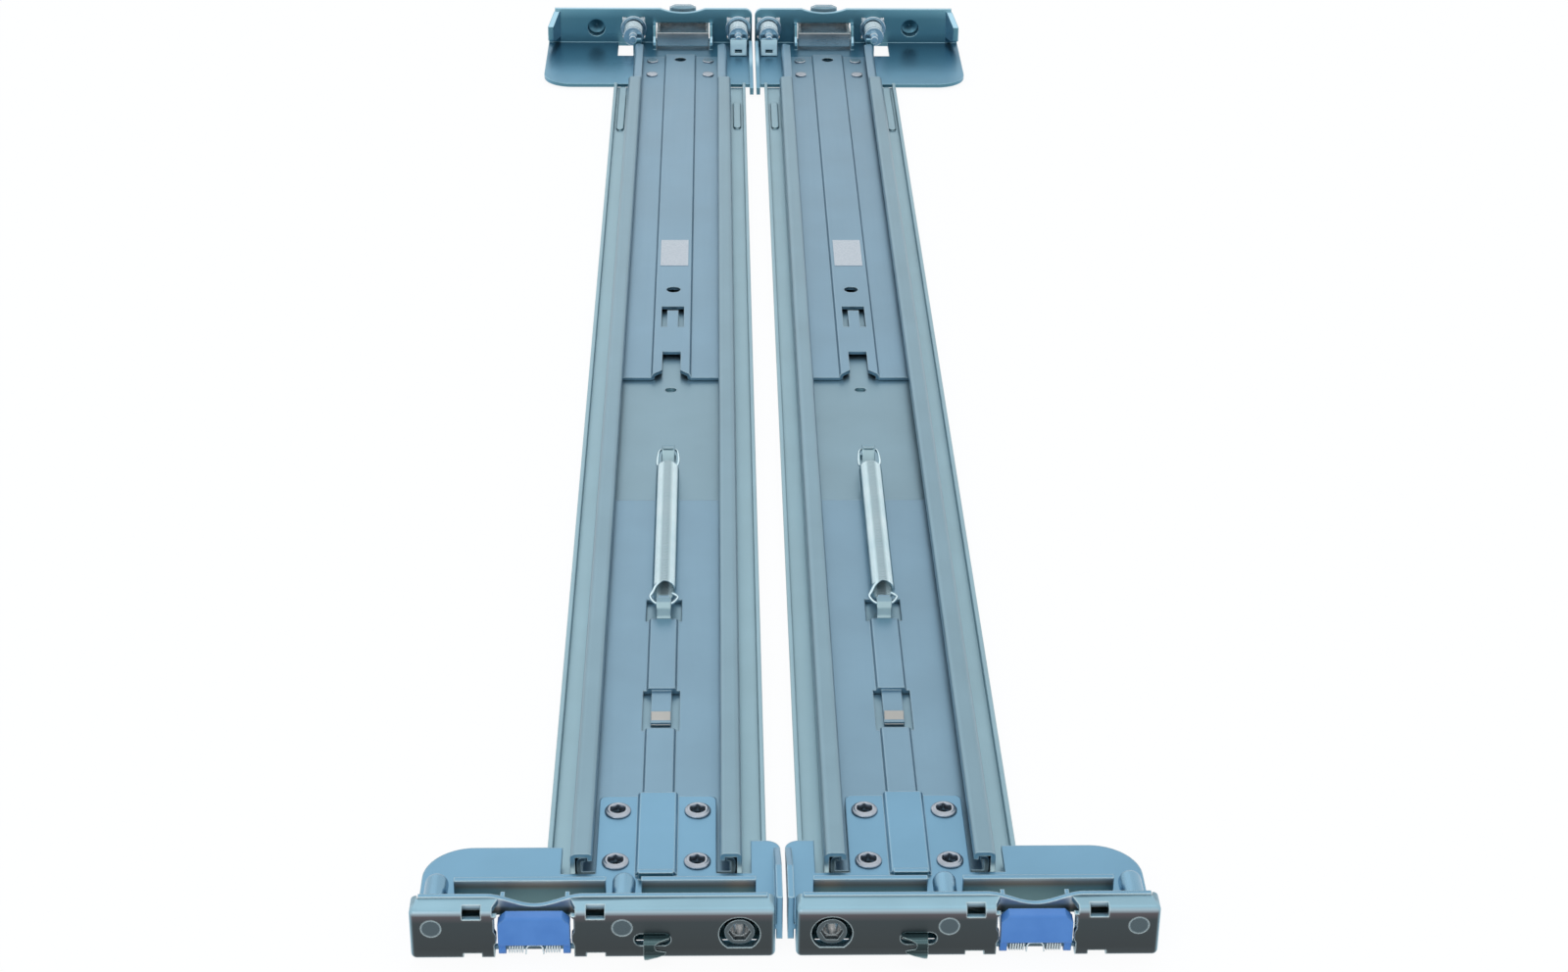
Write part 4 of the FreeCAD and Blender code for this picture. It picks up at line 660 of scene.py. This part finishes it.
# Latch springs: two close coils round each axle, one beside each arm, joined by a straight bar
# behind them, of 0.44 mm wire in front and 0.40 mm wire at the rear.
for side, hand in SIDES:
    for name, wire, turns in (("latch_spring", 0.00044, 6), ("rear_latch_spring", 0.00040, 7)):
        low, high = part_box(f"{side}_{name}")
        centre = (low + high) / 2
        radius = (high.z - low.z) / 2 - wire / 2
        length = wire * turns * 1.4
        parts = []
        for end, start in (("a", low.x + wire / 2), ("b", high.x - wire / 2 - length)):
            parts.append(wound(
                f"{side}_{name}_{end}", radius, wire, length, turns,
                (start, centre.y, centre.z), (1, 0, 0),
            ))
        reach = (high.x - low.x) / 2 - length
        back = centre.y + radius
        bar = wire_piece(f"{side}_{name}_bar", [
            (centre.x - reach - wire, back, centre.z + wire),
            (centre.x - reach, back, centre.z),
            (centre.x, back, centre.z),
            (centre.x + reach, back, centre.z),
            (centre.x + reach + wire, back, centre.z + wire),
        ], wire)
        rides = f"{side}_front_slide" if name == "latch_spring" else f"{side}_rear_slide"
        for piece in (*parts, bar):
            declared(piece, (f"{side}_{name}",), rides)


def strip(name, rows, thick, material, opening=None):
    """Sheet bent through rows of points, each row running across it, thickened to both sides, with
    the cell between two rows and two columns left open."""
    mesh = bpy.data.meshes.new(name)
    form = bmesh.new()
    grid = [[form.verts.new(point) for point in row] for row in rows]
    for row, (here, there) in enumerate(zip(grid, grid[1:])):
        for index in range(len(here) - 1):
            if (row, index) != opening:
                form.faces.new((here[index], here[index + 1], there[index + 1], there[index]))
    form.normal_update()
    form.to_mesh(mesh)
    form.free()
    mesh.materials.append(material)
    flat_piece = bpy.data.objects.new(name, mesh)
    scene.collection.objects.link(flat_piece)
    thicken = flat_piece.modifiers.new("thicken", "SOLIDIFY")
    thicken.thickness = thick
    thicken.offset = 0
    round_off = flat_piece.modifiers.new("round off", "BEVEL")
    round_off.width = thick * 0.3
    round_off.segments = 2
    round_off.limit_method = "ANGLE"
    bpy.context.view_layer.update()
    done = bpy.data.meshes.new_from_object(
        flat_piece.evaluated_get(bpy.context.evaluated_depsgraph_get())
    )
    flat_piece.modifiers.clear()
    flat_piece.data = done
    mend = bmesh.new()
    mend.from_mesh(done)
    bmesh.ops.recalc_face_normals(mend, faces=mend.faces)
    mend.to_mesh(done)
    mend.free()
    return flat_piece


# Catch hook: a strip 4 mm wide that leaves the slot, bends down and curls forward into a point,
# with a notch in its edge on the pair's inner side.
# Its faces that look forwards take a dark painted reflection, darkest 3.4 mm up.
hook_steel = zinc(
    "hook steel", linear(96, 126, 130), linear(226, 244, 246), rough=0.24, bend=0.00024,
    front=(
        (0.0020, linear(70, 96, 100)), (0.0034, linear(36, 48, 50)), (0.0066, linear(50, 66, 68)),
    ),
)
for side, hand in SIDES:
    rows = []
    for along, up, outer, inner in (
        (1.9, 9.9, 2.3, -1.6), (1.9, 7.4, 2.4, -2.4), (1.6, 6.7, 2.4, -3.8),
        (-0.4, 6.6, 2.4, -3.8), (-1.2, 6.5, 2.4, -3.5), (-1.9, 6.3, 2.4, -1.6),
        (-2.4, 5.8, 2.4, -0.3), (-2.6, 5.2, 2.4, -0.2), (-2.7, 4.6, 2.4, -0.6),
        (-2.7, 4.1, 2.4, -2.9), (-3.0, 3.4, 2.4, -2.6), (-3.4, 2.9, 2.3, -0.8),
        (-3.8, 2.6, 2.2, 1.5),
    ):
        rows.append([
            at(hand, outer + (inner - outer) * share, along, up)
            for share in (0, 0.25, 0.5, 0.75, 1)
        ])
    hook = strip(f"{side}_hook_strip", rows, 0.0006, hook_steel)
    declared(hook, (f"{side}_catch_hook",), f"{side}_front_slide")

# Spring clip: a strip bent into a bridge 4.6 mm wide over the bar of the latch spring.
for side, hand in SIDES:
    low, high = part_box(f"{side}_spring_clip")
    middle_x = (low.x + high.x) / 2
    rows = []
    for across, up in (
        (-2.1, 0.7), (-1.9, 2.6), (-1.4, 3.3), (0.0, 3.4), (1.4, 3.3), (1.9, 2.6), (2.1, 0.7),
    ):
        rows.append([
            (middle_x + across * MM, place, up * MM)
            for place in (low.y + 0.0002, low.y + 0.0018)
        ])
    clip = strip(f"{side}_clip_bridge", rows, 0.0004, spring_steel)
    declared(clip, (f"{side}_spring_clip",), f"{side}_front_slide")


def turned_form(name, rings, material, around=36, six=()):
    """A turned piece about its own Z from rings of (radius, height). The rings whose places in the
    list are in six are hexagons of that half width across flats."""
    mesh = bpy.data.meshes.new(name)
    form = bmesh.new()
    grid = []
    for index, (radius, height) in enumerate(rings):
        ring = []
        for step in range(around):
            angle = math.tau * step / around
            reach = radius
            if index in six:
                reach = radius / math.cos((angle + math.pi / 6) % (math.pi / 3) - math.pi / 6)
            ring.append(form.verts.new((reach * math.cos(angle), reach * math.sin(angle), height)))
        grid.append(ring)
    for here, there in zip(grid, grid[1:]):
        for step in range(around):
            after = (step + 1) % around
            form.faces.new((here[step], here[after], there[after], there[step]))
    form.normal_update()
    for face in form.faces:
        face.smooth = True
    form.to_mesh(mesh)
    form.free()
    mesh.materials.append(material)
    return mesh


# Front rivets: hollow rivets with a flange 6.6 mm across, a rolled ring on it and a hexagonal
# bore. The same rivet is set on a grid of two by two.
def grid_tree():
    tree = bpy.data.node_groups.new("two by two", "GeometryNodeTree")
    face = tree.interface
    for name, kind in (
        ("Rivet", "NodeSocketObject"),
        ("Across", "NodeSocketFloat"),
        ("Along", "NodeSocketFloat"),
        ("Material", "NodeSocketMaterial"),
    ):
        face.new_socket(name=name, in_out="INPUT", socket_type=kind)
    face.new_socket(name="Geometry", in_out="OUTPUT", socket_type="NodeSocketGeometry")
    given = tree.nodes.new("NodeGroupInput")
    result = tree.nodes.new("NodeGroupOutput")
    spread = tree.nodes.new("GeometryNodeMeshGrid")
    spread.inputs["Vertices X"].default_value = 2
    spread.inputs["Vertices Y"].default_value = 2
    model = tree.nodes.new("GeometryNodeObjectInfo")
    setting = tree.nodes.new("GeometryNodeInstanceOnPoints")
    realise = tree.nodes.new("GeometryNodeRealizeInstances")
    paint = tree.nodes.new("GeometryNodeSetMaterial")
    link = tree.links.new
    link(given.outputs["Across"], spread.inputs["Size X"])
    link(given.outputs["Along"], spread.inputs["Size Y"])
    link(given.outputs["Rivet"], model.inputs["Object"])
    link(spread.outputs["Mesh"], setting.inputs["Points"])
    link(model.outputs["Geometry"], setting.inputs["Instance"])
    link(setting.outputs["Instances"], realise.inputs[0])
    link(realise.outputs[0], paint.inputs[0])
    link(given.outputs["Material"], paint.inputs["Material"])
    link(paint.outputs[0], result.inputs["Geometry"])
    return tree


grid_group = grid_tree()
rivet_rings = (
    (2.35, -2.50), (2.35, 0.0), (3.30, 0.02), (3.30, 0.30), (3.12, 0.52), (2.72, 0.58),
    (2.62, 0.62), (2.50, 0.92), (2.28, 1.02), (2.08, 0.94), (1.86, 0.70), (1.72, -0.3),
    (1.72, -2.50), (2.35, -2.50),
)
rivet_model = bpy.data.objects.new("rivet", turned_form(
    "rivet", [(radius * MM, height * MM) for radius, height in rivet_rings], rivet_zinc,
    around=48, six=(10, 11, 12),
))
rivet_flange = 0.0066
for side, hand in SIDES:
    low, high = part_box(f"{side}_front_rivets")
    top = 0.0052
    rivets = grown(
        f"{side}_hollow_rivets",
        grid_group,
        {
            "Rivet": rivet_model,
            "Across": high.x - low.x - rivet_flange,
            "Along": high.y - low.y - rivet_flange,
            "Material": rivet_zinc,
        },
        Matrix.Translation(((low.x + high.x) / 2, (low.y + high.y) / 2, top)),
    )
    declared(rivets, (f"{side}_front_rivets",), f"{side}_front_slide")


def edited(name, new_name):
    """A copy of a CAD node's mesh, welded, as a piece of its own at the origin."""
    node = nodes[name]
    mesh = node.data.copy()
    mesh.transform(node.matrix_world)
    form = bmesh.new()
    form.from_mesh(mesh)
    bmesh.ops.remove_doubles(form, verts=form.verts, dist=0.000005)
    form.to_mesh(mesh)
    form.free()
    piece = bpy.data.objects.new(new_name, mesh)
    scene.collection.objects.link(piece)
    return piece


def crisp(piece):
    """Smooth shading on curved faces only."""
    for polygon in piece.data.polygons:
        polygon.use_smooth = True
    piece.data.set_sharp_from_angle(angle=math.radians(25))


# Cover and backing plate: over the release button the cover's top fold is cut away between two
# slanting shoulders, so that the dip of the backing plate shows behind the button. Elsewhere the
# top edge of the backing plate stands 0.45 mm above the fold.
LATCH_MIDDLE = 27.95  # mm from the middle of a rail
PLATE_TOP = 0.01445
for side, hand in SIDES:
    cover = edited(f"{side}_front_cover", f"{side}_cover_sheet")
    outline = [(18.3, -1.0), (37.6, -1.0), (37.6, 1.6), (35.6, 7.0), (20.3, 7.0), (18.3, 1.6)]
    form = bmesh.new()
    rows = [
        [form.verts.new(at(hand, across, along, up)) for across, along in outline]
        for up in (12.3, 15.0)
    ]
    form.faces.new(rows[0])
    form.faces.new(rows[1])
    for index in range(len(outline)):
        after = (index + 1) % len(outline)
        form.faces.new((rows[0][index], rows[0][after], rows[1][after], rows[1][index]))
    bmesh.ops.recalc_face_normals(form, faces=form.faces)
    mesh = bpy.data.meshes.new("notch")
    form.to_mesh(mesh)
    form.free()
    notch = bpy.data.objects.new("notch", mesh)
    scene.collection.objects.link(notch)
    cut = cover.modifiers.new("cut", "BOOLEAN")
    cut.object = notch
    cut.solver = "EXACT"
    bpy.context.view_layer.update()
    done = bpy.data.meshes.new_from_object(
        cover.evaluated_get(bpy.context.evaluated_depsgraph_get())
    )
    cover.modifiers.remove(cut)
    cover.data = done
    bpy.data.objects.remove(notch)
    crisp(cover)
    declared(cover, (f"{side}_front_cover",), f"{side}_front_slide")

    plate = edited(f"{side}_backing_plate", f"{side}_backing_sheet")
    form = bmesh.new()
    form.from_mesh(plate.data)
    bmesh.ops.dissolve_limit(form, angle_limit=0.01, verts=form.verts, edges=form.edges)
    top_edges = [
        edge for edge in form.edges
        if min(vertex.co.z for vertex in edge.verts) > 0.0098
        and abs(edge.verts[0].co.x - edge.verts[1].co.x) > 0.0004
    ]
    bmesh.ops.subdivide_edges(form, edges=top_edges, cuts=12)
    for vertex in form.verts:
        across = abs(vertex.co.x) * 1000 - RAIL_CENTRE - LATCH_MIDDLE
        if vertex.co.z > (0.0098 if abs(across) < 15 else 0.0125):
            dip = 1.4 + 1.4 * math.cos(math.pi * max(-1, min(1, across / 11.5)))
            vertex.co.z = min(PLATE_TOP, PLATE_TOP - dip * MM)
    bmesh.ops.triangulate(form, faces=form.faces)
    form.to_mesh(plate.data)
    form.free()
    crisp(plate)
    declared(plate, (f"{side}_backing_plate",), f"{side}_front_slide")

# Guide channels: their lips end under the front edge of the rear bracket, where the wide flanges
# of the extension start.
GUIDE_END = 0.2462
FLANGE_START, FLANGE_START_IN_SOLID = 0.2465, 0.2553
for side, hand in SIDES:
    for name, slot_name, rides in (
        ("guide_channel", "zinc_channel", "chassis"),
        ("rear_extension", "zinc_slide", f"{side}_rear_slide"),
    ):
        node = nodes[f"{side}_{name}"]
        mesh = node.data.copy()
        mesh.transform(node.matrix_world)
        for vertex in mesh.vertices:
            if name == "guide_channel":
                vertex.co.y = min(vertex.co.y, GUIDE_END)
            elif abs(vertex.co.y - FLANGE_START_IN_SOLID) < 0.0003:
                vertex.co.y = FLANGE_START
        sheet = bpy.data.objects.new(f"{side}_{name}_sheet", mesh)
        scene.collection.objects.link(sheet)
        declared(sheet, (f"{side}_{name}",), rides)

# Spring tabs: the curled tips of the slide plate's hook, over the spring's front loop, and of the
# guide channel's tab, over its rear loop.
for side, hand in SIDES:
    for name, half, rides, path in (
        ("front", 2.1, f"{side}_front_slide", (
            (146.2, 3.4), (147.0, 5.0), (147.6, 7.2), (148.4, 8.6), (149.8, 9.0), (150.8, 8.4),
        )),
        ("rear", 2.0, "chassis", (
            (236.6, 2.2), (238.0, 3.2), (239.6, 6.0), (240.8, 8.0), (242.4, 8.6), (243.6, 7.6),
        )),
    ):
        rows = [
            [at(hand, across, along, up) for across in (-half, -half * 0.6, 0.0, half * 0.6, half)]
            for along, up in path
        ]
        tab = strip(f"{side}_tab_tip_{name}", rows, 0.0007, channel_zinc)
        declared(tab, (), rides)

# Painted highlights: the lug of the inner stud leans, with a slot 3 mm wide in its face, and its
# face is painted near white as a highlight; the sloped tip of the slide plate's window tongue is
# painted a light warm grey as a highlight.
painted_highlight_zinc = zinc(
    "painted highlight zinc", linear(206, 240, 250), linear(226, 246, 252), rough=0.4, metal=0.25, shade=0.2,
    front=((0.0, linear(206, 240, 250)), (0.0100, linear(206, 240, 250))),
)
tip_zinc = zinc("tip zinc", linear(190, 188, 182), linear(212, 212, 208), rough=0.34, metal=0.5)
INNER_STUD = -24.35  # mm from the middle of a rail
for side, hand in SIDES:
    rows = [
        [at(hand, INNER_STUD + across, along, up) for across in (-3.45, -1.5, 1.5, 3.45)]
        for along, up in ((607.0, 2.7), (607.4, 3.9), (607.8, 5.1), (608.3, 7.4), (608.8, 9.1))
    ]
    face = strip(f"{side}_lug_face", rows, 0.00025, painted_highlight_zinc, opening=(1, 1))
    declared(face, (), f"{side}_rear_slide")
    rows = [
        [at(hand, across, along, up) for across in (-2.6, -1.0, 1.0, 2.6)]
        for along, up in ((94.9, 2.8), (96.4, 3.75), (97.9, 4.72), (98.3, 4.9))
    ]
    tip = strip(f"{side}_window_tip", rows, 0.0004, tip_zinc)
    declared(tip, (), f"{side}_front_slide")

# Tongue lip: the lanced edge at the front of the tongue, 8 mm wide, which stands up, painted near
# white as a highlight.
for side, hand in SIDES:
    rows = [
        [at(hand, across, along, up) for across in (-3.9, -3.5, 0.0, 3.5, 3.9)]
        for along, up in ((27.6, 5.9), (26.2, 6.1), (25.2, 6.3), (24.4, 6.0))
    ]
    lip = strip(f"{side}_tongue_lip", rows, 0.0006, painted_highlight_zinc)
    declared(lip, (), f"{side}_front_slide")

# Rear cup: a dark pressed cup set behind the round hole of the rear plate, so the hole looks dark.
cup_steel = zinc("cup steel", linear(84, 128, 146), linear(150, 196, 208), rough=0.34, along="X")
for side, hand in SIDES:
    cup = bpy.data.objects.new(f"{side}_rear_cup", turned_form(
        f"{side}_rear_cup",
        [(radius * MM, height * MM) for radius, height in (
            (4.6, 0.0), (4.6, 0.4), (4.2, 0.8), (4.2, 2.6), (3.6, 3.2), (0.05, 3.2), (0.05, 2.8),
            (3.5, 2.8), (3.8, 2.4), (3.8, 0.0), (4.6, 0.0),
        )],
        cup_steel,
    ))
    scene.collection.objects.link(cup)
    behind_hole = Matrix.Translation(at(hand, 35.975, 625.52, 9.0))
    cup.data.transform(behind_hole @ Matrix.Rotation(math.radians(-90), 4, "X"))
    declared(cup, (), f"{side}_rear_slide")
